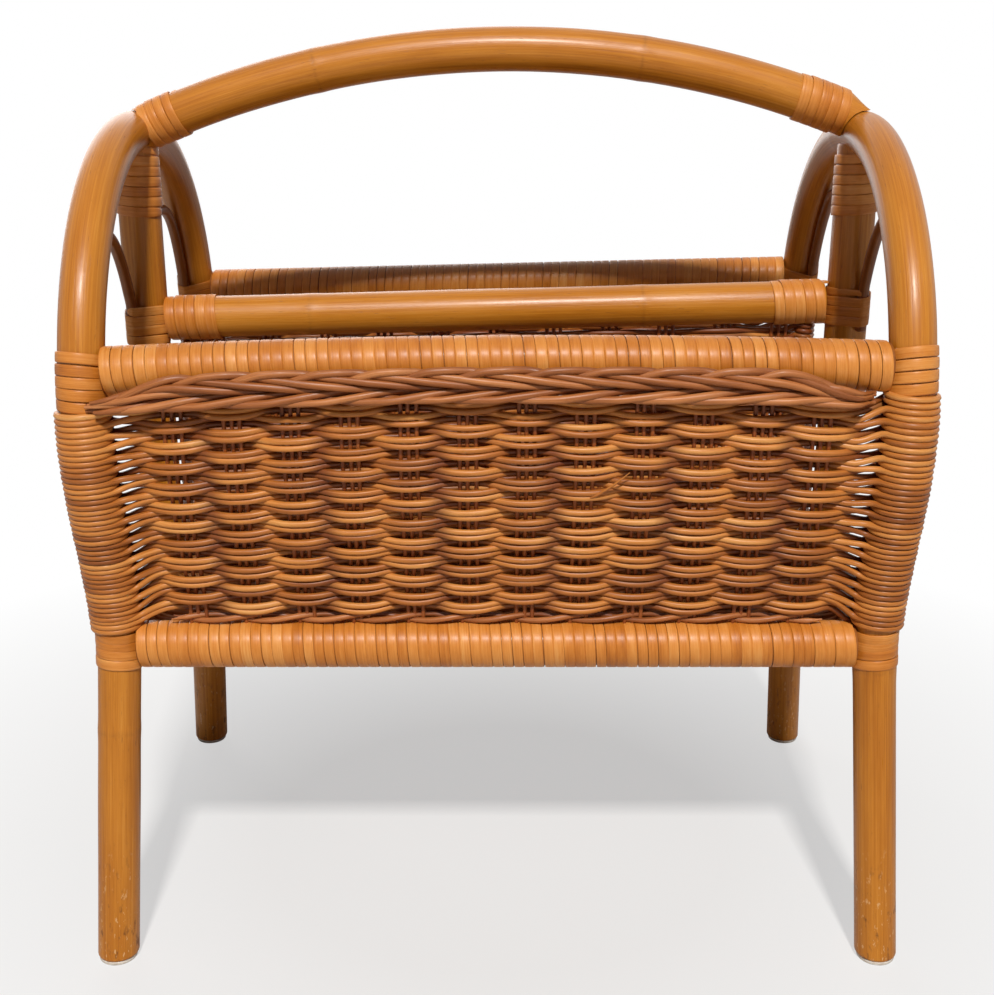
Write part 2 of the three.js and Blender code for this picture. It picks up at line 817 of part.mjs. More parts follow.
// A twisted row runs round the stakes between its bottom rail and its panel's foot.
function buildTwistedRows() {
  const reach = panelReach - twistEndGap;
  for (const [name, face] of Object.entries(faces)) {
    const depth = face * poleDepthAt(twistHeight);
    const route = straight(
      new THREE.Vector3(-reach, depth, twistHeight),
      new THREE.Vector3(reach, depth, twistHeight),
    );
    add(`${name}_bottom_twist`, rod(route, twistDiameter / 2, braidSides, 1), "reed");
  }
}

const floorTop = waistHeight + floorThickness / 2;

function buildFloorAndDivider() {
  const floorReach = halfSpan - stretcherDiameter / 2 - seatGap;
  const floorHalfDepth = waistHalfDepth - railWrapRadius - seatGap;
  const floorBox = new THREE.BoxGeometry(2 * floorReach, 2 * floorHalfDepth, floorThickness);
  add("floor_panel", floorBox.translate(0, 0, waistHeight), "reed");

  const reach = dividerReach - dividerEndClearance;
  const foot = floorTop + seatGap;
  const pointAt = (column, row) => {
    const x = reach * (2 * column - 1);
    const top = dividerRailHeightAt(x) - dividerRailDiameter / 2 - seatGap;
    return new THREE.Vector3(x, 0, foot + (top - foot) * row);
  };
  const grid = [evenShares(panelColumns), evenShares(panelRows)];
  const panel = slabGeometry(...grid, pointAt, alongY, dividerThickness);
  const rooms = Object.values(sides).map((side) => dividerWrapRoom(side));
  add("divider_panel", cut(panel, ...rooms), "reed");
}

// The room that the winding on an end of the divider rail takes out of the panel under it.
function dividerWrapRoom(side) {
  const route = dividerRailRoute();
  const innerShare = ((dividerEndTurns + 1) * canePitch) / route.getLength();
  const inner = route.getPoint(side < 0 ? innerShare : 1 - innerShare);
  const end = route.getPoint(side < 0 ? 0 : 1);
  const wrapRadius = clearRadius(dividerRailDiameter / 2, caneSteps) + caneRise;
  return rod(straight(inner, end), clearRadius(wrapRadius, poleSides), poleSides, 1);
}

buildHoops();
buildHandle();
buildRails();
buildPostsAndDividerRail();
buildThinArches();
buildRailWindings();
buildCornerWindings();
buildHandleWindings();
buildDividerWindings();
buildPostWindings();
buildSidePanels();
buildPoleReed();
buildBraids();
buildTwistedRows();
buildFloorAndDivider();

export default basket;
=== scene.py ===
import math
from functools import partial

import bpy
import numpy as np
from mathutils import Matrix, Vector


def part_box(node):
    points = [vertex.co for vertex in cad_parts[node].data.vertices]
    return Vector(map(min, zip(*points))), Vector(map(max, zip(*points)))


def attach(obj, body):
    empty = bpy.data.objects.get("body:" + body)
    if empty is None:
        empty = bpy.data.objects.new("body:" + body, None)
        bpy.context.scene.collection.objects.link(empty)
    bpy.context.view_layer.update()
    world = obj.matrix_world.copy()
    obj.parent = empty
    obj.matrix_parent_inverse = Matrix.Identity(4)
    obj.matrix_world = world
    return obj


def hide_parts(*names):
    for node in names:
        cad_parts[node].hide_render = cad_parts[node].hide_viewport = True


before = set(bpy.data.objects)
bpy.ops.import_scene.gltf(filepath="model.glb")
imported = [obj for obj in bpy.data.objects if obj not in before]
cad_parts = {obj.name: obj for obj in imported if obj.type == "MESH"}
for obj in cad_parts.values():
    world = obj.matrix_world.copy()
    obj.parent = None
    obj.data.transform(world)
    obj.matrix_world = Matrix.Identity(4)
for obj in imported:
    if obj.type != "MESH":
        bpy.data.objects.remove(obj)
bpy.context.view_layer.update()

MILLIMETRE = 0.001
SIDES = {"left": -1, "right": 1}
FACES = {"front": -1, "back": 1}
X_AXIS, Y_AXIS, Z_AXIS = np.eye(3)
QUARTER = np.pi / 2


def node_box(name):
    low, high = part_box(name)
    return np.array(low) / MILLIMETRE, np.array(high) / MILLIMETRE


# Hoops
HOOP_SPAN = 410
POLE_RADIUS = 11.5
ARCH_RADIUS = 139.5
ARCH_LEVEL = 308
WAIST_HEIGHT = 183
WAIST_DEPTH = 112.5
FOOT_REACH = 20.5
FOOT_SPLAY = 10
FOOT_HEIGHT = node_box("left_hoop")[0][2]
HOOP_TOP = ARCH_LEVEL + ARCH_RADIUS
HALF_SPAN = HOOP_SPAN / 2

# Handle
HANDLE_RADIUS = 12
HANDLE_BOW = 41.8
HANDLE_LIFT = 2.2
HANDLE_TILT = 6.7

# Posts and thin arches
POST_RADIUS = 12
POST_SEAT = 6  # how far its top reaches up into the hoop
ROD_RADIUS = 3.2
ROD_OUTSET = 5
ROD_ARCH_RISE = 47
ROD_LEG_LENGTH = 24
ROD_SPRING = 2
ARCH_POWER = 2.5

# Rails
RAIL_RADIUS = 11.7
RAIL_SEAT = 3.5  # how far a rail's end runs into the pole it meets
RIM_OVER_ARCH = 30
RAIL_RISE = {-1: 3, 1: 9}
RAIL_BOW = {-1: 4, 1: 0}
DIVIDER_RADIUS = 12
DIVIDER_OVER_ARCH = 33.5
DIVIDER_RISE = 10
STRETCHER_RADIUS = 11
RAIL_REACH = node_box("front_bottom_rail")[1][0] + RAIL_SEAT
DIVIDER_REACH = node_box("divider_rail")[1][0]
RIM_HEIGHT = ARCH_LEVEL + RIM_OVER_ARCH
DIVIDER_HEIGHT = ARCH_LEVEL + DIVIDER_OVER_ARCH
DIVIDER_TOP = DIVIDER_HEIGHT - DIVIDER_RADIUS  # of its panel
DIVIDER_FOOT = node_box("divider_panel")[0][2]

# Cane
CANE_WIDTH = 5.45
CANE_THICKNESS = 1.0
CANE_PITCH = 5.65
CANE_STEPS = 26  # in each turn
TOUCH = 0.1  # between a cane strip and the pole under it

# Weave
REED_RADIUS = 1.7
STAKE_RADIUS = 1.1
STAKE_SPREAD = 4.0  # between the reeds of one stake
COLUMN_PITCH = 29.2
COLUMNS = 12
WEAVE_LOW = 204  # foot of the lowest row
WEAVE_HIGH = 320.5
PANEL_PROUD = 3.4

# Fineness
REED_SIDES = 8
STRAND_SIDES = 10
STRAND_STEP = 1.5
SHARP_ANGLE = 50


def smooth_step(share):
    x = np.clip(share, 0, 1)
    return x * x * (3 - 2 * x)


seeds = iter(range(1, 100000))


def new_rng():
    return np.random.default_rng(next(seeds))


def wander(ways, spacing, amount):
    """A smooth random value for each way, which changes over about one spacing."""
    rng = new_rng()
    place = (np.asarray(ways) - np.min(ways)) / spacing
    knots = rng.uniform(-1, 1, int(place.max()) + 3)
    low = np.floor(place).astype(int)
    blend = smooth_step(place - low)
    return amount * (knots[low] * (1 - blend) + knots[low + 1] * blend)


def unit(vectors):
    return vectors / np.linalg.norm(vectors, axis=-1, keepdims=True)


def spots(*coordinates):
    """Points from their coordinates, where a single number holds for all of them."""
    return np.stack(np.broadcast_arrays(*coordinates), axis=-1)


def directions(angles):
    return spots(np.cos(angles), np.sin(angles))


def circle(sides):
    return directions(2 * np.pi * np.arange(sides) / sides)


def ways_along(points):
    steps = np.linalg.norm(np.diff(points, axis=0), axis=1)
    return np.concatenate([[0], np.cumsum(steps)])


def points_at(wanted, ways, points):
    """Points at wanted ways along a line, whose own points lie at the given ways."""
    return spots(*(np.interp(wanted, ways, row) for row in points.T))


def resample(points, spacing):
    """Points at even steps along a line."""
    ways = ways_along(points)
    count = max(2, int(round(ways[-1] / spacing)) + 1)
    return points_at(np.linspace(0, ways[-1], count), ways, points)


def smoothed(points, passes):
    """Rounds the corners of a line and keeps its ends."""
    points = points.copy()
    for _ in range(passes):
        points[1:-1] = (points[:-2] + 2 * points[1:-1] + points[2:]) / 4
    return points


# Pieces made of tubes and strips


def placed(name, data):
    holder = bpy.data.objects.new(name, data)
    bpy.context.scene.collection.objects.link(holder)
    return holder


class Piece:
    """Collects closed tubes into one mesh. Each point keeps what the materials read: grain is its
    place in its own strand, across and along, and tone, depth and ring are shares from 0 to 1. On strands
    depth is painted shade, and on poles it is wear near the feet."""

    def __init__(self):
        self.points, self.grain, self.shares = [], [], []
        self.corners, self.sizes = [], []
        self.count = 0

    def add(self, rings, grain, tone, depth, ring):
        steps, sides = rings.shape[:2]
        shares = np.zeros((steps, sides, 3))
        for k, share in enumerate((tone, depth, ring)):
            shares[..., k] = np.reshape(share, (-1, 1))
        self.points.append(rings.reshape(-1, 3))
        self.grain.append(grain.reshape(-1, 3))
        self.shares.append(shares.reshape(-1, 3))
        i, j = np.meshgrid(np.arange(steps - 1), np.arange(sides), indexing="ij")
        k = (j + 1) % sides
        quads = np.stack([i * sides + j, (i + 1) * sides + j, (i + 1) * sides + k, i * sides + k], axis=-1)
        start = np.arange(sides)
        end = (steps - 1) * sides + start[::-1]
        self.corners += [quads.ravel() + self.count, start + self.count, end + self.count]
        self.sizes += [np.full(quads.size // 4, 4), np.array([sides, sides])]
        self.count += steps * sides

    def build(self, name, kind, *nodes):
        look, slot = LOOKS[kind]
        corners = np.concatenate(self.corners)
        sizes = np.concatenate(self.sizes)
        mesh = bpy.data.meshes.new(name)
        mesh.vertices.add(self.count)
        mesh.vertices.foreach_set("co", (np.concatenate(self.points) * MILLIMETRE).ravel())
        mesh.loops.add(len(corners))
        mesh.loops.foreach_set("vertex_index", corners)
        mesh.polygons.add(len(sizes))
        mesh.polygons.foreach_set("loop_start", np.concatenate([[0], np.cumsum(sizes)[:-1]]))
        for key, values in (("grain", self.grain), ("shares", self.shares)):
            kept = mesh.attributes.new(key, "FLOAT_VECTOR", "POINT")
            kept.data.foreach_set("vector", np.concatenate(values).ravel())
        mesh.update(calc_edges=True)
        mesh.validate()
        mesh.shade_smooth()
        mesh.set_sharp_from_angle(angle=math.radians(SHARP_ANGLE))
        mesh.materials.append(look)
        piece = placed(name, mesh)
        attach(piece, "root")
        if nodes:
            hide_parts(*nodes)


def sweep(piece, path, up, section, tone=0.5, depth=0.0, ring=0.0):
    """Sweeps a section along a path. up leans away from the path at each point, and the section's
    first number is across it and the second along it. The section may differ from point to point."""
    tangent = unit(np.gradient(path, axis=0))
    across = unit(np.cross(tangent, up))
    normal = np.cross(across, tangent)
    section = np.broadcast_to(section, (len(path), *np.shape(section)[-2:]))
    rings = path[:, None] + across[:, None] * section[..., :1] + normal[:, None] * section[..., 1:]
    rng = new_rng()
    grain = spots(section[..., 0], section[..., 1], ways_along(path)[:, None]) + rng.uniform(0, 900, 3)
    piece.add(rings, grain, tone, depth, ring)
    return rings


def round_sections(radii, sides):
    return np.reshape(radii, (-1, 1, 1)) * circle(sides)


# Poles

EDGE_WAYS = np.array([0, 0.25, 0.8])  # how a pole's end is eased
EDGE_CUTS = np.array([0.95, 0.35, 0.08])
NODE_SPACING = (190, 380)  # between a pole's growth rings
NODE_SWELL = 0.22
NODE_WIDTH = 4.5
RING_WIDTH = 0.9
UNEVENNESS = (45, 0.008)  # a spacing and a share of the radius
TONE_CHANGE = (80, 0.12)
WEAR_LOW = 15  # scuffs reach up to here, and fade out above
WEAR_RUN = 75


def eased(path, radius):
    """Adds the points of an eased edge at both ends of a path, and gives the radii."""
    start = path[0] + EDGE_WAYS[:, None] * unit(path[1] - path[0])
    end = (path[-1] + EDGE_WAYS[:, None] * unit(path[-2] - path[-1]))[::-1]
    ways = ways_along(path)
    room = 1.5 * EDGE_WAYS[-1]
    inner = path[(ways > room) & (ways < ways[-1] - room)]
    radii = np.concatenate([radius - EDGE_CUTS, np.full(len(inner), radius), radius - EDGE_CUTS[::-1]])
    return np.concatenate([start, inner, end]), radii


def growth_rings(ways, spacing):
    """How strongly each point of a pole lies in a growth ring, as a wide swelling and a thin mark."""
    rng = new_rng()
    strengths = np.zeros((2, len(ways)))
    widths = np.array([[NODE_WIDTH], [RING_WIDTH]])
    place = rng.uniform(0.3, 0.8) * spacing[0]
    while place < ways[-1]:
        strengths += np.exp(-(((ways - place) / widths) ** 2))
        place += rng.uniform(*spacing)
    return strengths


def pole(
    name, node, path, up, radius, kind="pole",
    sides=36, step=1.6, spacing=NODE_SPACING, tone=0.5, wear=False, fit=None,
):
    """A pole as one piece. fit, where there is one, moves its rings in place to fit its ends."""
    path, radii = eased(resample(path, step), radius)
    ways = ways_along(path)
    swell, mark = growth_rings(ways, spacing)
    radii = radii * (1 + wander(ways, *UNEVENNESS)) + NODE_SWELL * swell * radius / POLE_RADIUS
    tones = tone + wander(ways, *TONE_CHANGE)
    worn = 1 - smooth_step((path[:, 2] - WEAR_LOW) / WEAR_RUN) if wear else 0.0
    piece = Piece()
    rings = sweep(piece, path, up, round_sections(radii, sides), tone=tones, depth=worn, ring=mark)
    if fit:
        fit(rings)
        piece.points[-1] = rings.reshape(-1, 3)
    piece.build(name, kind, node)


def pole_depth_at(height):
    over = np.clip(height - ARCH_LEVEL, 0, ARCH_RADIUS)
    arch = np.sqrt(ARCH_RADIUS**2 - over**2)
    leg = WAIST_DEPTH + FOOT_REACH * (1 - height / WAIST_HEIGHT)
    up = (height - WAIST_HEIGHT) / (ARCH_LEVEL - WAIST_HEIGHT)
    body = WAIST_DEPTH + (ARCH_RADIUS - WAIST_DEPTH) * smooth_step(up)
    return np.where(height > ARCH_LEVEL, arch, np.where(height < WAIST_HEIGHT, leg, body))


def pole_points(side, face, heights):
    """The middle of a hoop's front or back pole at given heights."""
    spread = HALF_SPAN + FOOT_SPLAY * np.clip(1 - heights / WAIST_HEIGHT, 0, None)
    return spots(side * spread, face * pole_depth_at(heights), heights)


FOOT_LEVEL_RUN = 14  # how far up from a foot its rings are tilted
# Each hoop's tone; the right hoop's lower tone is painted shade.
HOOP_SHADED_TONES = {-1: 0.48, 1: 0.36}


def hoop_path(side):
    leg = np.arange(FOOT_HEIGHT, ARCH_LEVEL, 2.0)
    arch = ARCH_LEVEL + ARCH_RADIUS * np.sin(np.linspace(0, QUARTER, 120))
    front = pole_points(side, -1, np.concatenate([leg, arch]))
    return smoothed(np.concatenate([front, front[-2::-1] * [1, -1, 1]]), passes=30)


def flatten_foot(rings):
    """Cuts a foot flat: its first rings slide along the pole until they are level."""
    middles = rings.mean(axis=1)
    tangent = unit(middles[3] - middles[0])
    for ring, middle in zip(rings, middles):
        way = np.linalg.norm(middle - middles[0])
        if way > FOOT_LEVEL_RUN:
            break
        level = middle[2] + (FOOT_HEIGHT - middles[0][2])
        slide = (level - ring[:, 2]) / tangent[2] * (1 - smooth_step(way / FOOT_LEVEL_RUN))
        ring += slide[:, None] * tangent


def flatten_feet(rings):
    flatten_foot(rings)
    flatten_foot(rings[::-1])


def build_hoops():
    for name, side in SIDES.items():
        node = f"{name}_hoop"
        pole(
            f"{node}_pole", node, hoop_path(side), X_AXIS, POLE_RADIUS,
            spacing=(240, 420), tone=HOOP_SHADED_TONES[side], wear=True, fit=flatten_feet,
        )


# Handle

HALF_CHORD = math.hypot(HOOP_SPAN, HANDLE_TILT) / 2
ARC_RADIUS = (HALF_CHORD**2 + HANDLE_BOW**2) / (2 * HANDLE_BOW)
TILT_ANGLE = math.atan2(HANDLE_TILT, HOOP_SPAN)
HANDLE_DROP = ARC_RADIUS - HANDLE_BOW
COPE_GAP = 0.35
COPE_STEP = 0.3
COPE_STEPS = 60
TIP_ROOM = (0.8, 0.3, 0.045)  # over the hoop, as a polynomial of the way from the handle's end


def handle_end_angle(side):
    return side * math.asin(HALF_CHORD / ARC_RADIUS) - TILT_ANGLE


def handle_path():
    angles = np.linspace(handle_end_angle(-1), handle_end_angle(1), 260)
    lift = HOOP_TOP + HANDLE_LIFT - HANDLE_DROP * math.cos(TILT_ANGLE)
    center = np.array([HANDLE_DROP * math.sin(TILT_ANGLE), 0, lift])
    return center + ARC_RADIUS * spots(np.sin(angles), 0, np.cos(angles))


def gap_to_hoop(points, side):
    """How far points near a hoop's top lie outside its pole."""
    from_center = np.hypot(points[..., 1], points[..., 2] - ARCH_LEVEL)
    return np.hypot(from_center - ARCH_RADIUS, points[..., 0] - side * HALF_SPAN) - POLE_RADIUS


def cope(rings, side):
    """Hollows out a handle's end: its last rings slide back until they clear the hoop."""
    middles = rings.mean(axis=1)
    tangent = unit(middles[-1] - middles[-4])
    for ring, middle in zip(rings[::-1], middles[::-1]):
        if np.linalg.norm(middle - middles[-1]) > 3 * POLE_RADIUS:
            break
        back = np.zeros(len(ring))
        for _ in range(COPE_STEPS):
            inside = gap_to_hoop(ring - back[:, None] * tangent, side) < COPE_GAP
            back += np.where(inside, COPE_STEP, 0)
        ring -= back[:, None] * tangent


def thin_tip(rings, ways, side):
    """The handle's end thins out where it lies on top of the hoop."""
    room = TIP_ROOM[0] + TIP_ROOM[1] * ways + TIP_ROOM[2] * ways**2
    y, z = rings[..., 1], rings[..., 2] - ARCH_LEVEL
    span = np.hypot(y, z) / ARCH_RADIUS
    middle = spots(side * HALF_SPAN, y / span, ARCH_LEVEL + z / span)
    over = np.maximum(gap_to_hoop(rings, side) - room[:, None], 0)
    rings += over[..., None] * unit(middle - rings)


def fit_handle(rings):
    ways = ways_along(rings.mean(axis=1))
    cope(rings, 1)
    cope(rings[::-1], -1)
    thin_tip(rings, ways[-1] - ways, 1)
    thin_tip(rings, ways, -1)


def build_handle():
    path = handle_path()
    pole("handle_pole", "handle", path, Y_AXIS, HANDLE_RADIUS, spacing=(150, 260), fit=fit_handle)


# Rails, posts and stretchers


def rim_height_at(face, x):
    share = (x + RAIL_REACH) / (2 * RAIL_REACH)
    return RIM_HEIGHT + RAIL_RISE[face] * share + 4 * RAIL_BOW[face] * share * (1 - share)


def top_rail_path(face):
    x = np.linspace(-RAIL_REACH, RAIL_REACH, 80)
    return spots(x, face * pole_depth_at(rim_height_at(face, 0)), rim_height_at(face, x))


def wound_rails():
    """The node, the face and the path of each rail that is wound with cane."""
    x = np.linspace(-RAIL_REACH, RAIL_REACH, 40)
    for name, face in FACES.items():
        yield f"{name}_top_rail", face, top_rail_path(face)
        yield f"{name}_bottom_rail", face, spots(x, face * WAIST_DEPTH, WAIST_HEIGHT)


def divider_height_at(x):
    return DIVIDER_HEIGHT + DIVIDER_RISE * (x + RAIL_REACH) / (2 * RAIL_REACH)


def divider_rail_path():
    x = np.linspace(-DIVIDER_REACH, DIVIDER_REACH, 40)
    return spots(x, 0, divider_height_at(x))


def build_straight_poles():
    for node, _, path in wound_rails():
        pole(f"{node}_core", node, path, Y_AXIS, RAIL_RADIUS, "core", sides=20, step=6)
    for name, side in SIDES.items():
        x = side * HALF_SPAN
        node = f"{name}_center_post"
        low, high = node_box(node)
        path = spots(x, 0, np.linspace(low[2], high[2] + POST_SEAT, 40))
        pole(f"{name}_post_pole", node, path, Y_AXIS, POST_RADIUS)
        node = f"{name}_bottom_stretcher"
        low, high = node_box(node)
        path = spots(x, np.linspace(low[1], high[1], 40), WAIST_HEIGHT)
        pole(f"{name}_stretcher_pole", node, path, X_AXIS, STRETCHER_RADIUS)
    path = divider_rail_path()
    node = "divider_rail"
    pole(f"{node}_pole", node, path, Y_AXIS, DIVIDER_RADIUS, spacing=(140, 240), tone=0.6)


# Thin arches

SEAT_GAP = 0.3
BEND_SLACK = 0.45
POST_WRAP_TURNS = 3
POST_WRAP_DROP = 2.5


def rod_offset(radius):
    return math.sqrt((radius + ROD_RADIUS + SEAT_GAP) ** 2 - ROD_OUTSET**2)


def inside_depth_at(height, room):
    over = height - ARCH_LEVEL
    arch = np.sqrt(np.clip((ARCH_RADIUS - room) ** 2 - over**2, 0, None))
    return np.where(over < 0, pole_depth_at(height) - room, arch)


def post_wrap_middle(side):
    return divider_height_at(side * DIVIDER_REACH) - POST_WRAP_DROP


def thin_arch_path(side, face):
    spring = post_wrap_middle(side) + (POST_WRAP_TURNS + 1) * CANE_PITCH / 2
    room = rod_offset(POLE_RADIUS) + BEND_SLACK
    post_leg = rod_offset(POST_RADIUS)
    half = (inside_depth_at(spring, room) + ROD_SPRING - post_leg) / 2
    legs = np.linspace(spring - ROD_LEG_LENGTH, spring, 13)[:-1]
    across = np.cos(np.linspace(0, np.pi, 90))
    arch = spring + ROD_ARCH_RISE * (1 - np.abs(across) ** ARCH_POWER)
    over = np.minimum(post_leg + half * (1 + across), inside_depth_at(arch, room))
    heights = np.concatenate([legs, arch, legs[::-1]])
    depths = np.concatenate([inside_depth_at(legs, room), over, np.full(len(legs), post_leg)])
    return smoothed(spots(side * (HALF_SPAN + ROD_OUTSET), face * depths, heights), passes=12)


def poles():
    """Each of the hoops' four poles, as its side and its face with their names."""
    for name, side in SIDES.items():
        for face_name, face in FACES.items():
            yield name, side, face_name, face


def build_thin_arches():
    for name, side, face_name, face in poles():
        node = f"{name}_{face_name}_thin_arch"
        path = thin_arch_path(side, face)
        pole(f"{node}_rod", node, path, X_AXIS, ROD_RADIUS, "rod", sides=14, spacing=(50, 90))


# Cane windings

STRIP_EDGES = np.array([-0.5, -0.47, -0.38, -0.16, 0.16, 0.38, 0.47, 0.5, 0.42, -0.42])  # share of width
STRIP_RISES = np.array([0.66, 0.86, 0.96, 1.0, 1.0, 0.96, 0.86, 0.66, 0, 0])  # share of thickness
TUCK_TURNS = 0.3  # a strip's end narrows and dips under its neighbour over this part of a turn
TUCK_WIDTH = 0.55

# Each winding's middle against the rail that it holds, and how often it passes in front.
RIM_WINDINGS = {-1: (-5.5, 5), 1: (-2.6, 4)}
WAIST_WINDING = (-0.8, 4)

# Each end winding's inset from the pole's end, its turns and its pitch.
HANDLE_WINDINGS = {"left": (9.5, 4.3, 5.1), "right": (12.5, 4.7, 5.8)}
DIVIDER_WINDINGS = dict.fromkeys(SIDES, (-1.2, 5.2, 5.9))
POST_TOP_TURNS = 6.4


def strip_sections(widths):
    """A cane strip's sections, flat below and domed above, with soft edges."""
    return spots(widths[:, None] * STRIP_EDGES, STRIP_RISES * CANE_THICKNESS)[:, ::-1]


def wind(node, path, normal, start, turns, hold, pitch=CANE_PITCH, lean=1, width=CANE_WIDTH, spin=0.0):
    """Winds one strip of cane round a path, from a way along it. normal is square to the path's
    plane, hold gives the strip's place for angles, and lean is the winding's hand."""
    steps = int(turns * CANE_STEPS)
    turn = np.arange(steps + 1) / CANE_STEPS
    ways = start + pitch * turn + wander(turn, 1.0, 0.22) + wander(turn, 0.35, 0.06)
    along = ways_along(path)
    inside = np.clip(ways, 0, along[-1])
    middle = points_at(inside, along, path)
    tangent = unit(points_at(inside, along, unit(np.gradient(path, axis=0))))
    middle += (ways - inside)[:, None] * tangent
    up = unit(np.cross(tangent, normal))
    angle = lean * 2 * np.pi * turn + spin
    place = hold(angle)
    ray = directions(angle)
    outward = ray[:, :1] * normal + ray[:, 1:] * up
    points = middle + place[:, :1] * normal + place[:, 1:] * up
    tuck = smooth_step(np.minimum(turn, turn[-1] - turn) / TUCK_TURNS)
    points += outward * (TOUCH - (1 - tuck)[:, None] * (CANE_THICKNESS + 2 * TOUCH))
    widths = width * (1 + wander(turn, 1.7, 0.05)) * (TUCK_WIDTH + (1 - TUCK_WIDTH) * tuck)
    tones = 0.5 + wander(turn, 1.0, 0.22) + wander(turn, 0.4, 0.12)
    piece = Piece()
    sweep(piece, points, outward, strip_sections(widths), tone=tones)
    piece.build(f"{node}_strip", "cane", node)


def round_hold(radius):
    return lambda angle: radius * directions(angle)


def bundle_hold(side, radius, *faces):
    """Holds a pole together with the thin rods beside it. The strip lies on whichever of them
    reaches furthest, and runs straight between them."""
    fine = np.linspace(0, 2 * np.pi, 721)
    ray = directions(fine)
    rods = [(side * ROD_OUTSET, face * rod_offset(radius)) for face in faces]
    support = np.max([0 * fine + radius] + [ray @ rod + ROD_RADIUS for rod in rods], axis=0)
    slope = np.gradient(support, fine)
    slope[0] = slope[-1] = (support[1] - support[-2]) / (2 * fine[1])
    hull = smoothed(support[:, None] * ray + slope[:, None] * spots(-ray[:, 1], ray[:, 0]), passes=6)
    return lambda angle: points_at(np.mod(angle, 2 * np.pi), fine, hull)


def build_rail_windings():
    turns = round(2 * RAIL_REACH / CANE_PITCH) + 0.35
    pitch = 2 * RAIL_REACH / turns
    hold = round_hold(RAIL_RADIUS)
    for node, face, path in wound_rails():
        spin = face * QUARTER
        wind(f"{node}_cane", path, Y_AXIS, -0.1 * pitch, turns, hold, pitch, -face, spin=spin)


def rim_middle(side, face):
    return rim_height_at(face, side * RAIL_REACH) + RIM_WINDINGS[side][0]


def winding_ends(middle, passes):
    half = ((passes - 1) * CANE_PITCH + CANE_WIDTH) / 2
    return middle - half, middle + half


def wind_upright(node, side, points, height, turns, hold, spin=QUARTER):
    """A winding about a height of an upright pole, whose middle points gives for heights."""
    half = turns * CANE_PITCH / 2
    path = points(np.linspace(height - 2 * half, height + 2 * half, 60))
    start = ways_along(path)[-1] / 2 - half
    wind(node, path, X_AXIS, start, turns, hold, lean=side, spin=spin)


def build_corner_windings():
    for name, side, face_name, face in poles():
        points = partial(pole_points, side, face)
        for place, middle, passes, hold in (
            ("rim", rim_middle(side, face), RIM_WINDINGS[side][1], bundle_hold(side, POLE_RADIUS, -face)),
            ("waist", WAIST_HEIGHT + WAIST_WINDING[0], WAIST_WINDING[1], round_hold(POLE_RADIUS)),
        ):
            wind_upright(f"{face_name}_{name}_{place}_cane", side, points, middle, passes - 0.05, hold)


def build_end_windings():
    """The windings on both ends of the handle and of the divider rail."""
    for pole_name, path, windings, radius in (
        ("handle", handle_path(), HANDLE_WINDINGS, HANDLE_RADIUS),
        ("divider", divider_rail_path(), DIVIDER_WINDINGS, DIVIDER_RADIUS),
    ):
        for name, (inset, turns, pitch) in windings.items():
            start = inset if name == "left" else ways_along(path)[-1] - turns * pitch - inset
            node = f"{name}_{pole_name}_cane"
            hold = round_hold(radius)
            wind(node, path, Y_AXIS, start, turns, hold, pitch, width=pitch - 0.1, spin=0.6)


def build_post_windings():
    for name, side in SIDES.items():
        points = partial(spots, side * HALF_SPAN, 0)
        top = (sum(node_box(f"{name}_post_top_cane"))[2] + CANE_PITCH) / 2
        rods_hold = bundle_hold(side, POST_RADIUS, -1, 1)
        for place, middle, turns, hold in (
            ("top", top, POST_TOP_TURNS, round_hold(POST_RADIUS)),
            ("middle", post_wrap_middle(side), POST_WRAP_TURNS + 0.6, rods_hold),
        ):
            wind_upright(f"{name}_post_{place}_cane", side, points, middle, turns, hold, spin=1.0)


# Weave

REED_SWING = STAKE_RADIUS + REED_RADIUS + 0.15
SAG = 1.3
BACK_SAG = 0.1  # share of it behind the stakes
EDGE_RUN = 15  # how far the rows run on past the last stakes before they turn to the bar
FIELD_STEPS = 11  # points of a row between two groups of stakes
TURN_STEPS = 22  # points of a turn round a bar
BRIDGE_STEPS = 14
ROW_SPREAD = 0.45  # how much further apart a row's two reeds lie on the stakes
HUG_ANGLE = math.radians(66)  # how far past a bar's front or back a weaver clings to it
WAVE_SOFTNESS = 0.55


def soft_wave(phase):
    """A wave with broad tops, which lies flat on the stakes and then turns over quickly."""
    wave = np.cos(phase)
    return wave / np.sqrt(WAVE_SOFTNESS + (1 - WAVE_SOFTNESS) * wave**2)


def bridge(run, next_run):
    """A smooth stretch from the end of one run to the start of the next."""
    start, end = run[-1], next_run[0]
    reach = np.linalg.norm(end - start)
    set_off = unit(run[-1] - run[-2]) * reach
    arrive = unit(next_run[1] - next_run[0]) * reach
    t = np.linspace(0, 1, BRIDGE_STEPS)[1:-1, None]
    return (
        (2 * t**3 - 3 * t**2 + 1) * start
        + (t**3 - 2 * t**2 + t) * set_off
        + (3 * t**2 - 2 * t**3) * end
        + (t**3 - t**2) * arrive
    )


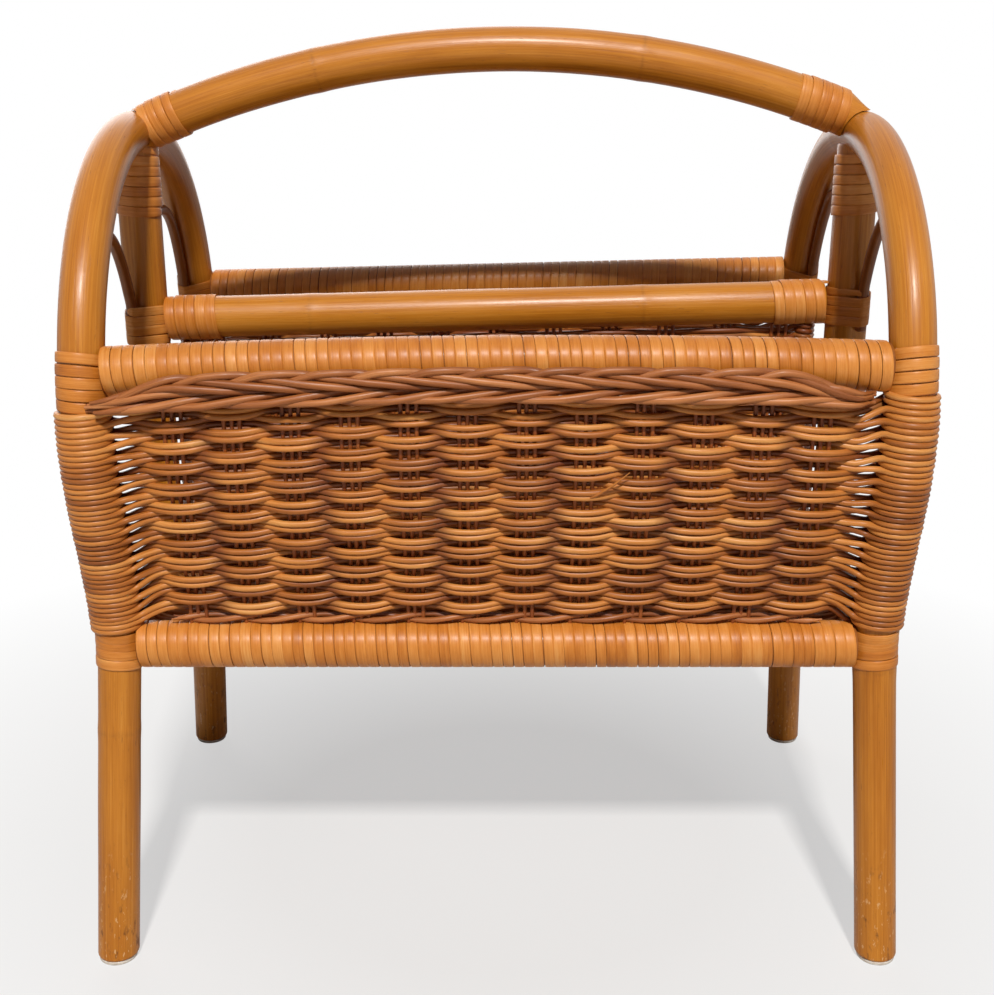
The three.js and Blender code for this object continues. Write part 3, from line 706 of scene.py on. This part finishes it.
class Weave:
    """Two weavers that run together as one through groups of stakes, and turn round a bar at both
    ends. place turns a spot across, up the rows and out of the face into a point in space."""

    def __init__(self, place, columns, half, pairs, low, high, bar, radius, reach, edge_run=EDGE_RUN):
        self.place, self.columns, self.half, self.pairs = place, columns, half, pairs
        self.low, self.bar, self.reach = low, bar, reach
        self.step = 2 * half / (columns - 1)
        self.pitch = (high - low) / pairs
        self.turn_radius = radius + REED_RADIUS
        self.edge = half + edge_run

    def side_sign(self, column, pair):
        """1 where a row passes outside a group of stakes and -1 where it passes inside."""
        return 1 if (column + pair) % 2 else -1

    def field(self, pair, second, way):
        """One row of a weaver between the first and the last stakes. way is 1 to the right."""
        rng = new_rng()
        across = np.linspace(-self.edge, self.edge, self.columns * FIELD_STEPS)
        wave = soft_wave(np.pi * (across + self.half) / self.step) * self.side_sign(0, pair)
        lower = 1 - pair / self.pairs
        sag = SAG * (0.85 + 0.35 * lower) * (1 + wander(across, self.step, 0.22))
        sag *= np.where(wave > 0, wave, BACK_SAG * wave)
        apart = (second - 0.5) * (self.pitch / 2 + ROW_SPREAD * np.abs(wave))
        up = self.low + self.pitch * (pair + 0.5) + apart - sag + wander(across, 1.3 * self.step, 0.3)
        out = REED_SWING * wave * (1 + wander(across, self.step, 0.07)) + rng.uniform(-0.1, 0.1)
        run = spots(across, up, out)
        return run if way > 0 else run[::-1]

    def turn(self, side, slot, first_angle, last_angle):
        """A weaver's way round the bar at one side, from one slot upwards. Angle 0 is the outer
        side and a quarter turn is the face's front."""
        turns = abs(last_angle - first_angle) / (2 * np.pi)
        angle = np.linspace(first_angle, last_angle, max(4, int(TURN_STEPS * turns)))
        across = side * (self.bar + self.turn_radius * np.cos(angle))
        low, high = self.reach[side]
        up = low + (high - low) / (2 * self.pairs) * (slot + turns * np.linspace(0, 1, len(angle)))
        return spots(across, up, self.turn_radius * np.sin(angle))

    def weaver(self, second):
        """The whole way of one weaver, from the lowest row to the highest."""
        runs = [self.turn(-1, second, -QUARTER, 5 * QUARTER + HUG_ANGLE)]
        way = 1
        for pair in range(self.pairs):
            row = self.field(pair, second, way)
            last = pair == self.pairs - 1
            slot = (pair + 1) // 2 * 4 + (1 if last else 2) * second + (0.4 if way > 0 else -1.6)
            sign = -self.side_sign(self.columns - 1 if way > 0 else 0, pair)
            last_angle = 3 * QUARTER if last else 5 * QUARTER + HUG_ANGLE
            loop = self.turn(way, slot, sign * (QUARTER + HUG_ANGLE), -sign * last_angle)
            runs += [bridge(runs[-1], row), row, bridge(row, loop), loop]
            way = -way
        return np.concatenate(runs)

    def add_weavers(self, piece):
        for second in (0, 1):
            local = self.weaver(second)
            path = resample(smoothed(self.place(local), passes=2), spacing=2.4)
            ways = ways_along(path)
            local_ways = ways_along(local)
            local_out = np.interp(ways / ways[-1], local_ways / local_ways[-1], local[:, 2])
            radii = REED_RADIUS * (1 + wander(ways, 70, 0.07) + wander(ways, 9, 0.03))
            tones = 0.5 + wander(ways, 160, 0.3) + wander(ways, 40, 0.2)
            # painted shade: depth darkens a weaver where it lies behind the stakes
            depth = np.clip(0.5 - local_out / REED_SWING, 0, 1)
            up = self.place(local[:1] + [0, 1, 0]) - self.place(local[:1])
            sweep(piece, path, unit(up), round_sections(radii, REED_SIDES), tone=tones, depth=depth)

    def add_stakes(self, piece, low, high):
        rng = new_rng()
        up = np.linspace(low, high, 40)
        for column in range(self.columns):
            for k in (-1, 0, 1):
                across = -self.half + self.step * column + k * STAKE_SPREAD
                drift = wander(up, 30, 0.35) + rng.uniform(-0.2, 0.2)
                path = self.place(spots(across + drift, up, wander(up, 20, 0.12)))
                sections = round_sections(STAKE_RADIUS * (1 + wander(up, 25, 0.05)), REED_SIDES)
                # painted shade: a fixed depth share darkens every stake
                sweep(piece, path, X_AXIS, sections, tone=0.5 + rng.uniform(-0.2, 0.2), depth=0.3)

    def build(self, name, nodes, low, high, bars=()):
        """Two pieces: the weavers, and the stakes with the panel's own bars."""
        piece = Piece()
        self.add_weavers(piece)
        piece.build(f"{name}_weavers", "reed", *nodes)
        piece = Piece()
        self.add_stakes(piece, low, high)
        for path in bars:
            # painted shade: a fixed depth share darkens the bars
            sweep(piece, path, X_AXIS, round_sections(BAR_RADIUS, STRAND_SIDES), depth=0.4)
        piece.build(f"{name}_stakes", "stake")


PANEL_PAIRS = 21
PANEL_HALF = COLUMN_PITCH * (COLUMNS - 1) / 2
SETTLE_RUN = 30  # the panel leaves the poles' own depth and heights over this width
DIVIDER_PAIRS = 24
DIVIDER_COLUMNS = 11
BAR_RADIUS = 2.4
FLOOR_PAIRS = 33
FLOOR_ROOM = 2  # between its outer rows and its edges

# A sliver of split reed: where it starts, how far it reaches and how it bends, across, up and out.
SPLINTER_START = (47, 271.3, REED_SWING + 0.3)
SPLINTER_REACH = (19, 14.5, 3.2)
SPLINTER_BEND = (1, 1.3, 1.4)
SPLINTER_RADIUS = 0.95


def side_panel_place(face):
    foot = node_box("front_panel")[0][2]
    top = rim_height_at(face, 0) - RAIL_RADIUS

    def place(local):
        across, up, out = local.T
        weave_top = rim_height_at(face, across) - RIM_HEIGHT + WEAVE_HIGH
        stretch = (weave_top - WEAVE_LOW) / (WEAVE_HIGH - WEAVE_LOW)
        inner = smooth_step((HALF_SPAN - POLE_RADIUS - np.abs(across)) / SETTLE_RUN)
        height = WEAVE_LOW + (up - WEAVE_LOW) * (1 + (stretch - 1) * inner)
        share = np.clip((height - foot) / (top - foot), 0, 1)
        depth = pole_depth_at(height) + PANEL_PROUD * share * inner + out
        return spots(across, face * depth, height)

    return place


def build_side_panels():
    low = winding_ends(WAIST_HEIGHT + WAIST_WINDING[0], WAIST_WINDING[1])[1]
    for name, face in FACES.items():
        reach = {
            side: (low, winding_ends(rim_middle(side, face), RIM_WINDINGS[side][1])[0])
            for side in (-1, 1)
        }
        weave = Weave(
            side_panel_place(face), COLUMNS, PANEL_HALF, PANEL_PAIRS, WEAVE_LOW, WEAVE_HIGH,
            HALF_SPAN, POLE_RADIUS, reach,
        )
        nodes = [f"{name}_panel"] + [f"{name}_{side_name}_pole_reed" for side_name in SIDES]
        top = rim_height_at(face, 0) - RAIL_RADIUS
        weave.build(f"{name}_panel", nodes, WAIST_HEIGHT + RAIL_RADIUS, top)


def build_splinter():
    """One reed of the front panel has split, and its end stands out."""
    ways = np.linspace(0, 1, 24)
    local = np.array(SPLINTER_START) + SPLINTER_REACH * ways[:, None] ** SPLINTER_BEND
    sections = round_sections(SPLINTER_RADIUS * (1 - 0.8 * ways**1.5), REED_SIDES)
    piece = Piece()
    # a small fixed depth share adds a little painted shade to the sliver
    sweep(piece, side_panel_place(-1)(local), Z_AXIS, sections, tone=0.35 + 0.4 * ways, depth=0.1)
    piece.build("front_panel_splinter", "reed")


def divider_place(local):
    across, up, out = local.T
    lift = divider_height_at(across) - DIVIDER_HEIGHT
    return spots(across, out, up + lift * (up - DIVIDER_FOOT) / (DIVIDER_TOP - DIVIDER_FOOT))


def build_divider():
    bar = node_box("divider_panel")[1][0] - BAR_RADIUS - 2 * REED_RADIUS
    reach = (DIVIDER_FOOT + 1, DIVIDER_TOP - 2)
    weave = Weave(
        divider_place, DIVIDER_COLUMNS, bar - COLUMN_PITCH / 2, DIVIDER_PAIRS, *reach,
        bar, BAR_RADIUS, {side: reach for side in (-1, 1)}, edge_run=3,
    )
    ends = [np.array([[x, DIVIDER_FOOT, 0], [x, DIVIDER_TOP, 0]]) for x in (-bar, bar)]
    bars = [resample(divider_place(pair), 4) for pair in ends]
    weave.build("divider", ["divider_panel"], DIVIDER_FOOT, DIVIDER_TOP, bars)


def floor_place(local):
    across, up, out = local.T
    return spots(across, up, WAIST_HEIGHT + out)


def build_floor():
    edge = node_box("floor_panel")[1][1]
    reach = node_box("left_bottom_stretcher")[1][1] - FLOOR_ROOM
    weave = Weave(
        floor_place, COLUMNS, PANEL_HALF, FLOOR_PAIRS, FLOOR_ROOM - edge, edge - FLOOR_ROOM,
        HALF_SPAN, STRETCHER_RADIUS, {side: (-reach, reach) for side in (-1, 1)},
    )
    weave.build("floor", ["floor_panel"], -edge, edge)


# Braids and twisted rows

BRAID_STRANDS = 9
BRAID_PERIOD = 28.4  # from one strand to the next
BRAID_START = 16.3  # where one of them comes to the front
BRAID_RADIUS = 1.9
BRAID_RISE = 7.6
BRAID_SWING = 3.0
BRAID_DROP = 8
BRAID_END_DROP = 6
BRAID_END_RUN = 50
BRAID_TAPER_RUN = 22
BRAID_REACH = {-1: 200, 1: 186}
BRAID_CURL = {-1: 1, 1: 9}  # how far its ends bend in to the rail
BRAID_CURL_RUN = 12
TWIST_RADIUS = 1.5
TWIST_TAPER_RUN = 9

# A strand's course through the plait: the way in periods, then its height and how far it stands out
# as shares. It arches over the edge, runs down in front, turns at the foot and goes back behind.
STRAND_COURSE = [
    (0.0, 0.60, 0.55), (0.3, 0.93, 0.95), (0.7, 1.00, 0.85), (1.05, 0.90, 0.0), (1.35, 0.68, 0.5),
    (2.2, 0.28, 1.0), (2.8, 0.0, 0.6), (3.3, -0.22, -0.5), (4.1, -0.62, -1.0), (4.6, -0.88, -0.4),
    (4.9, -0.98, 0.35), (5.5, -0.90, 0.95), (6.1, -0.62, 0.6), (6.6, -0.42, -0.4), (7.4, -0.12, -1.0),
    (8.3, 0.25, -0.9), (8.75, 0.48, -0.2),
]


def strand_course(periods):
    """A strand's height and its standing out, as shares, on a smooth closed course."""
    fine = np.linspace(0, BRAID_STRANDS, BRAID_STRANDS * 20, endpoint=False)
    ways, *shares = np.array(STRAND_COURSE).T
    blur = np.hanning(9) / np.hanning(9).sum()
    found = []
    for share in shares:
        course = np.interp(fine, ways, share, period=BRAID_STRANDS)
        course = np.convolve(np.tile(course, 3), blur, "same")[len(fine) : 2 * len(fine)]
        found.append(np.interp(periods, fine, course, period=BRAID_STRANDS))
    return found


def build_braids():
    x = np.arange(-BRAID_REACH[-1], BRAID_REACH[1], STRAND_STEP)
    to_end = np.minimum(x + BRAID_REACH[-1], BRAID_REACH[1] - x)
    close = 0.35 + 0.65 * smooth_step(to_end / BRAID_END_RUN)
    drop = BRAID_DROP + BRAID_END_DROP * (1 - smooth_step(to_end / BRAID_END_RUN))
    curl = np.where(x < 0, BRAID_CURL[-1], BRAID_CURL[1]) * (1 - smooth_step(to_end / BRAID_CURL_RUN))
    taper = 0.45 + 0.55 * smooth_step(to_end / BRAID_TAPER_RUN)
    for name, face in FACES.items():
        depth = sum(node_box(f"{name}_braid"))[1] / 2
        middle = rim_height_at(face, x) - drop
        piece = Piece()
        for k in range(BRAID_STRANDS):
            rng = new_rng()
            kept = slice(rng.integers(0, 4), len(x) - rng.integers(0, 4))
            height, out = strand_course((x - BRAID_START) / BRAID_PERIOD + k + wander(x, 60, 0.12))
            rise = BRAID_RISE * close * height * (1 + wander(x, 40, 0.05)) + wander(x, 30, 0.25)
            out = BRAID_SWING * out * (0.6 + 0.4 * close) * (1 + wander(x, 50, 0.08))
            path = spots(x, depth + face * (out - curl), middle + rise)
            sections = round_sections(BRAID_RADIUS * (1 + wander(x, 60, 0.08)) * taper, STRAND_SIDES)
            tones = 0.45 + rng.uniform(-0.12, 0.12) + wander(x, 70, 0.25)
            # painted shade: darker where a strand lies back in the plait
            depths = np.clip(0.55 - 0.5 * out / BRAID_SWING, 0, 1)
            sweep(piece, path[kept], Z_AXIS, sections[kept], tone=tones[kept], depth=depths[kept])
        piece.build(f"{name}_braid_strands", "braid", f"{name}_braid")


def build_twists():
    """Two reeds that change places between the stakes."""
    for name, face in FACES.items():
        low, high = node_box(f"{name}_bottom_twist")
        middle = (low + high) / 2
        x = np.arange(low[0], high[0], STRAND_STEP)
        taper = 0.3 + 0.7 * smooth_step(np.minimum(x - x[0], x[-1] - x) / TWIST_TAPER_RUN)
        piece = Piece()
        for k in (0, 1):
            phase = np.pi * (x / COLUMN_PITCH + k) + wander(x, 50, 0.15)
            out = (STAKE_RADIUS + TWIST_RADIUS) * np.cos(phase)
            rise = TWIST_RADIUS * np.sin(phase) * -face + wander(x, 40, 0.2)
            path = spots(x, middle[1] + face * out, middle[2] + rise)
            sections = round_sections(TWIST_RADIUS * (1 + wander(x, 40, 0.06)) * taper, STRAND_SIDES)
            # painted shade: darker where a reed passes behind the stakes
            depths = np.clip(0.4 - 0.5 * np.cos(phase), 0, 1)
            sweep(piece, path, Z_AXIS, sections, tone=0.45 + wander(x, 60, 0.25), depth=depths)
        piece.build(f"{name}_twist_strands", "braid", f"{name}_bottom_twist")


# Glides and nails

NAIL_PROFILE = [(1.4, -6), (1.4, 0), (3.2, 0.05), (3.2, 0.6), (2.5, 1.15), (1.2, 1.45), (0.3, 1.5)]
NAIL_SINK = 0.2


def lathe(base, axis, side_axis, profile, sides):
    """A round piece about an axis. The profile is pairs of a radius and a way along the axis."""
    radii, ways = np.array(profile).T[..., None, None]
    ring = circle(sides)
    rings = base + axis * ways + radii * (ring[:, :1] * side_axis - ring[:, 1:] * np.cross(axis, side_axis))
    grain = np.concatenate([radii * ring, np.broadcast_to(ways, (len(ways), sides, 1))], axis=-1)
    piece = Piece()
    piece.add(rings, grain + [40, 20, 0], 0.5, 0.0, 0.0)
    return piece


def build_glides():
    for face_name in FACES:
        for name in SIDES:
            node = f"{face_name}_{name}_glide"
            low, high = node_box(node)
            radius = (high[0] - low[0]) / 2
            x, y, _ = (low + high) / 2
            top = high[2] - low[2]
            profile = [
                (radius * 0.6, 0), (radius - 1.0, 0), (radius - 0.35, 0.12), (radius - 0.05, 0.6),
                (radius, top - 0.6), (radius - 0.3, top - 0.1), (radius - 0.8, top),
            ]
            piece = lathe((x, y, low[2]), Z_AXIS, X_AXIS, profile, sides=48)
            piece.build(f"{node}_disc", "glide", node)


def build_nails():
    for name, side in SIDES.items():
        angle = handle_end_angle(side)
        outward = side * np.array([math.cos(angle), 0, -math.sin(angle)])
        head = np.array([side * HALF_SPAN, 0, HOOP_TOP]) + outward * (POLE_RADIUS - NAIL_SINK)
        piece = lathe(head, outward, Y_AXIS, NAIL_PROFILE, sides=24)
        piece.build(f"{name}_nail", "nail", f"{name}_handle_nail")


# Materials


class Nodes:
    """The nodes of one tree. A value is a number, a color or the socket that gives it."""

    def __init__(self, owner):
        owner.use_nodes = True
        self.owner = owner
        self.tree = owner.node_tree
        self.tree.nodes.clear()

    def add(self, kind, values=None, **settings):
        """Adds a node with values for inputs, told by name or number, and gives its outputs."""
        node = self.tree.nodes.new(kind)
        for setting, value in settings.items():
            setattr(node, setting, value)
        for key, value in (values or {}).items():
            if isinstance(value, bpy.types.NodeSocket):
                self.tree.links.new(value, node.inputs[key])
            else:
                node.inputs[key].default_value = value
        return node.outputs

    def math(self, operation, a, b, clamp=False):
        return self.add("ShaderNodeMath", {0: a, 1: b}, operation=operation, use_clamp=clamp)[0]

    def times(self, a, b, clamp=False):
        return self.math("MULTIPLY", a, b, clamp)

    def total(self, *terms):
        """The sum of values, each times its weight."""
        added = 0.0
        for value, weight in terms:
            added = self.math("ADD", self.times(value, weight), added)
        return added

    def mapped(self, value, low, high, to_low=0.0, to_high=1.0):
        values = dict(enumerate((value, low, high, to_low, to_high)))
        return self.add("ShaderNodeMapRange", values)[0]


class Look(Nodes):
    """A material that reads what a piece's points keep: grain, tone, depth and ring."""

    def __init__(self, name):
        super().__init__(bpy.data.materials.new(name))
        self.grain = self.add("ShaderNodeAttribute", attribute_name="grain")["Vector"]

    def shares(self):
        shares = self.add("ShaderNodeAttribute", attribute_name="shares")["Vector"]
        return self.add("ShaderNodeSeparateXYZ", {0: shares})

    def noise(self, scale, detail, roughness=0.6):
        place = self.add("ShaderNodeVectorMath", {0: self.grain, 1: scale}, operation="MULTIPLY")
        values = {"Vector": place[0], "Scale": 1.0, "Detail": detail, "Roughness": roughness}
        return self.add("ShaderNodeTexNoise", values)["Fac"]

    def marks(self, scale, detail, low, high):
        """Where a noise is high: 0 up to its low value and 1 from its high value."""
        return self.mapped(self.noise(scale, detail), low, high)

    def ramp(self, value, stops):
        output = self.add("ShaderNodeValToRGB", {0: value})[0]
        elements = output.node.color_ramp.elements
        while len(elements) < len(stops):
            elements.new(0.5)
        for element, (place, color) in zip(elements, stops):
            element.position = place
            element.color = (*color, 1)
        return output

    def mixed(self, share, below, color):
        values = {0: share, 6: below, 7: (*color, 1)}
        return self.add("ShaderNodeMix", values, data_type="RGBA")[2]

    def finish(self, color, roughness, height, bump, metallic=0.0, specular=0.5, coat=(0.0, 0.2)):
        """Adds the shader. coat is its coat's weight and roughness."""
        values = {"Strength": 1.0, "Distance": bump * MILLIMETRE, "Height": height}
        values = {
            "Base Color": color, "Roughness": roughness, "Normal": self.add("ShaderNodeBump", values)[0],
            "Metallic": metallic, "Specular IOR Level": specular,
            "Coat Weight": coat[0], "Coat Roughness": coat[1],
        }
        self.add("ShaderNodeOutputMaterial", {0: self.add("ShaderNodeBsdfPrincipled", values)[0]})
        return self.owner


SCUFF_COLOR = (0.13, 0.045, 0.012)
SCRATCH_COLOR = (0.72, 0.46, 0.22)
GRIME_COLOR = (0.36, 0.29, 0.22)
POLE_STOPS = [
    (0.22, (0.25, 0.068, 0.003)), (0.42, (0.42, 0.134, 0.008)),
    (0.58, (0.53, 0.192, 0.017)), (0.80, (0.65, 0.285, 0.050)),
]
CORE_STOPS = [(0.3, (0.20, 0.06, 0.008)), (0.7, (0.34, 0.11, 0.018))]
ROD_STOPS = [(0.25, (0.11, 0.028, 0.006)), (0.5, (0.22, 0.065, 0.012)), (0.75, (0.34, 0.12, 0.025))]
CANE_STOPS = [
    (0.24, (0.34, 0.092, 0.007)), (0.42, (0.52, 0.165, 0.018)),
    (0.58, (0.64, 0.238, 0.042)), (0.78, (0.76, 0.37, 0.110)),
]
REED_STOPS = [
    (0.22, (0.19, 0.047, 0.005)), (0.42, (0.39, 0.120, 0.018)),
    (0.58, (0.56, 0.203, 0.038)), (0.80, (0.71, 0.35, 0.105)),
]
BRAID_STOPS = [
    (0.22, (0.15, 0.036, 0.006)), (0.45, (0.36, 0.112, 0.026)),
    (0.62, (0.54, 0.200, 0.060)), (0.82, (0.70, 0.34, 0.13)),
]
STAKE_STOPS = [(0.3, (0.20, 0.045, 0.008)), (0.6, (0.38, 0.105, 0.02)), (0.8, (0.50, 0.18, 0.05))]
GLIDE_STOPS = [(0.3, (0.50, 0.42, 0.34)), (0.6, (0.74, 0.69, 0.62))]
NAIL_STOPS = [(0.35, (0.16, 0.11, 0.08)), (0.6, (0.28, 0.15, 0.07))]


def pole_material(name, stops, ring_color, gloss=0.3):
    """Peeled rattan under lacquer: long fibres, slow changes of tone, growth rings, small dark flecks
    and, where it is worn, scuffs and pale scratches."""
    look = Look(name)
    tone, worn, ring = look.shares()
    fibre = look.noise((0.8, 0.8, 0.012), 6, 0.62)
    fine = look.noise((3.2, 3.2, 0.05), 3)
    blotch = look.noise((0.05, 0.05, 0.012), 3)
    fleck = look.marks((1.3, 1.3, 0.13), 2, 0.66, 0.76)
    broken = look.marks((0.35, 0.35, 0.2), 3, 0.35, 0.6)
    ringed = look.times(look.times(ring, broken), 0.3, clamp=True)
    scuff = look.times(look.marks((0.26, 0.26, 0.1), 4, 0.58, 0.68), worn)
    scratch = look.times(look.marks((0.5, 0.5, 0.2), 3, 0.62, 0.68), worn)
    value = look.total((fibre, 0.55), (fine, 0.25), (blotch, 0.35), (tone, 0.3), (1.0, -0.2))
    color = look.mixed(ringed, look.ramp(value, stops), ring_color)
    color = look.mixed(look.times(fleck, 0.45), color, ring_color)
    color = look.mixed(look.times(scuff, 0.75), color, SCUFF_COLOR)
    color = look.mixed(look.times(scratch, 0.6), color, SCRATCH_COLOR)
    height = look.total((fibre, 0.7), (fine, 0.5), (ringed, -0.9), (fleck, -0.3))
    roughness = look.total((fine, 0.16), (blotch, 0.2), (fleck, 0.1), (scuff, 0.25), (1.0, gloss - 0.14))
    return look.finish(color, roughness, height, 0.16, coat=(0.16, 0.24), specular=0.25)


def strand_material(name, stops, dark, fibre, cloud, cloud_share, fleck, shift, relief, coat):
    """Reed or cane: long fibres, clouds, small dark flecks, slow changes of tone, and painted shade
    where a strand dives behind a stake."""
    look = Look(name)
    tone, depth, _ = look.shares()
    fibre = look.noise(*fibre)
    cloud = look.noise(*cloud)
    fleck = look.marks(*fleck)
    value = look.total((fibre, 0.5), (cloud, cloud_share), (tone, 0.5), (1.0, shift))
    color = look.mixed(look.times(fleck, 0.5), look.ramp(value, stops), dark)
    # painted shade: the depth share mixes in the dark colour, darkest where a strand lies behind a stake
    color = look.mixed(look.times(depth, 0.75, clamp=True), color, dark)
    height = look.total(*zip((fibre, cloud, fleck), relief))
    roughness = look.total((fibre, 0.2), (cloud, 0.15), (1.0, 0.25))
    return look.finish(color, roughness, height, 0.12, coat=coat, specular=0.3)


CANE = {
    "fibre": ((2.6, 0.4, 0.02), 4),
    "cloud": ((0.3, 0.3, 0.06), 3),
    "cloud_share": 0.35,
    "fleck": ((2.2, 1.0, 0.25), 2, 0.68, 0.78),
    "shift": -0.18,
    "relief": (0.8, 0.3, -0.4),
    "coat": (0.12, 0.3),
}
REED = {
    "fibre": ((2.4, 2.4, 0.03), 5, 0.65),
    "cloud": ((0.3, 0.3, 0.035), 3),
    "cloud_share": 0.4,
    "fleck": ((2.6, 2.6, 0.16), 2, 0.66, 0.78),
    "shift": -0.22,
    "relief": (0.9, 0.0, -0.5),
    "coat": (0.08, 0.25),
}


def glide_material():
    look = Look("pale_glide")
    grime = look.noise((0.25, 0.25, 0.5), 5)
    scuff = look.marks((0.15, 2.5, 1.0), 3, 0.55, 0.7)
    color = look.mixed(look.times(scuff, 0.4), look.ramp(grime, GLIDE_STOPS), GRIME_COLOR)
    height = look.total((grime, 0.5), (scuff, -0.5))
    return look.finish(color, look.total((grime, 0.3), (1.0, 0.35)), height, 0.08)


def nail_material():
    look = Look("dull_nail")
    rust = look.noise((0.9, 0.9, 0.9), 5)
    roughness = look.total((rust, 0.4), (1.0, 0.25))
    return look.finish(look.ramp(rust, NAIL_STOPS), roughness, rust, 0.1, metallic=0.85)


# Stage, light and camera

WHITE = (1, 1, 1, 1)
FLOOR_COLOR = (0.66, 0.65, 0.64, 1)
FLOOR_FADE = (0.15, 0.62, 0.5, 1.0)  # from one way out to another, from one share of glow to another
FLOOR_REACH = 6.0
SKY_STRENGTH = 0.05
LAMP_TARGET = (0, 0, 0.25)
CAMERA_PLACE = (0, -0.800, 0.481)
CAMERA_PITCH = 17.36
FOCAL_PIXELS = 1371
IMAGE_WIDTH = 994
SENSOR_WIDTH = 36


def stage_material():
    """A pale floor that keeps the basket's shadow and runs out into the white background."""
    nodes = Nodes(bpy.data.materials.new("stage_floor"))
    place = nodes.add("ShaderNodeTexCoord")["Object"]
    way = nodes.add("ShaderNodeVectorMath", {0: place}, operation="LENGTH")["Value"]
    to_camera = nodes.add("ShaderNodeLightPath")["Is Camera Ray"]
    diffuse = nodes.add("ShaderNodeBsdfDiffuse", {"Color": FLOOR_COLOR})[0]
    glow = nodes.add("ShaderNodeEmission", {"Color": WHITE, "Strength": 1.0})[0]
    seen = nodes.times(to_camera, nodes.mapped(way, *FLOOR_FADE))
    blend = nodes.add("ShaderNodeMixShader", {0: seen, 1: diffuse, 2: glow})[0]
    nodes.add("ShaderNodeOutputMaterial", {0: blend})
    return nodes.owner


def build_stage():
    corners = [(x * FLOOR_REACH, y * FLOOR_REACH, 0) for x, y in ((-1, -1), (1, -1), (1, 1), (-1, 1))]
    mesh = bpy.data.meshes.new("stage_floor")
    mesh.from_pydata(corners, [], [(0, 1, 2, 3)])
    mesh.materials.append(stage_material())
    floor = placed("stage_floor", mesh)


def build_sky():
    """White where it is seen, directly or in a reflection, and dim as a light."""
    world = bpy.data.worlds.new("studio")
    bpy.context.scene.world = world
    nodes = Nodes(world)
    path = nodes.add("ShaderNodeLightPath")
    seen = nodes.math("ADD", path["Is Camera Ray"], path["Is Glossy Ray"])
    seen = nodes.math("ADD", seen, path["Is Transmission Ray"], clamp=True)
    strength = nodes.mapped(seen, 0, 1, SKY_STRENGTH, 1.0)
    background = nodes.add("ShaderNodeBackground", {"Color": WHITE, "Strength": strength})
    nodes.add("ShaderNodeOutputWorld", {0: background[0]})


def add_lamp(name, place, size, power, color=(1, 1, 1)):
    lamp = bpy.data.lights.new(name, "AREA")
    lamp.shape = "SQUARE"
    lamp.size = size
    lamp.energy = power
    lamp.color = color
    holder = placed(name, lamp)
    holder.location = place
    holder.rotation_euler = (Vector(place) - Vector(LAMP_TARGET)).to_track_quat("Z", "Y").to_euler()


def build_lamps():
    add_lamp("key_lamp", (0.18, -4.2, 4.89), 0.45, 408, (1.0, 0.985, 0.96))
    add_lamp("fill_lamp", (-3.0, -2.2, 1.2), 1.8, 3)
    add_lamp("back_lamp", (-1.3, 3.4, 1.4), 3.0, 45)


def build_camera():
    camera = bpy.data.cameras.new("camera")
    camera.sensor_fit = "HORIZONTAL"
    camera.sensor_width = SENSOR_WIDTH
    camera.lens = SENSOR_WIDTH * FOCAL_PIXELS / IMAGE_WIDTH
    camera.clip_start = 0.01
    holder = placed("camera", camera)
    holder.location = CAMERA_PLACE
    holder.rotation_euler = (math.radians(90 - CAMERA_PITCH), 0, 0)
    bpy.context.scene.camera = holder


build_camera()
build_sky()
build_lamps()
build_stage()

# Each kind of piece's material and slot.
LOOKS = {
    "pole": (pole_material("rattan_pole", POLE_STOPS, (0.13, 0.04, 0.008)), "pole"),
    "core": (pole_material("rail_core", CORE_STOPS, (0.05, 0.02, 0.006), gloss=0.5), "pole"),
    "rod": (pole_material("dark_rod", ROD_STOPS, (0.04, 0.014, 0.005), gloss=0.34), "rod"),
    "cane": (strand_material("cane_strip", CANE_STOPS, (0.22, 0.07, 0.012), **CANE), "cane"),
    # For reed, braid and stake the last colour is both the fleck colour and the painted shade mixed in by
    # the depth share.
    "reed": (strand_material("woven_reed", REED_STOPS, (0.12, 0.020, 0.002), **REED), "reed"),
    "braid": (strand_material("braid_reed", BRAID_STOPS, (0.11, 0.020, 0.004), **REED), "reed"),
    "stake": (strand_material("stake_reed", STAKE_STOPS, (0.11, 0.018, 0.002), **REED), "reed"),
    "glide": (glide_material(), "glide"),
    "nail": (nail_material(), "nail"),
}

build_hoops()
build_handle()
build_straight_poles()
build_thin_arches()
build_rail_windings()
build_corner_windings()
build_end_windings()
build_post_windings()
build_side_panels()
build_splinter()
build_divider()
build_floor()
build_braids()
build_twists()
build_glides()
build_nails()

bpy.context.scene.view_settings.view_transform = "Standard"
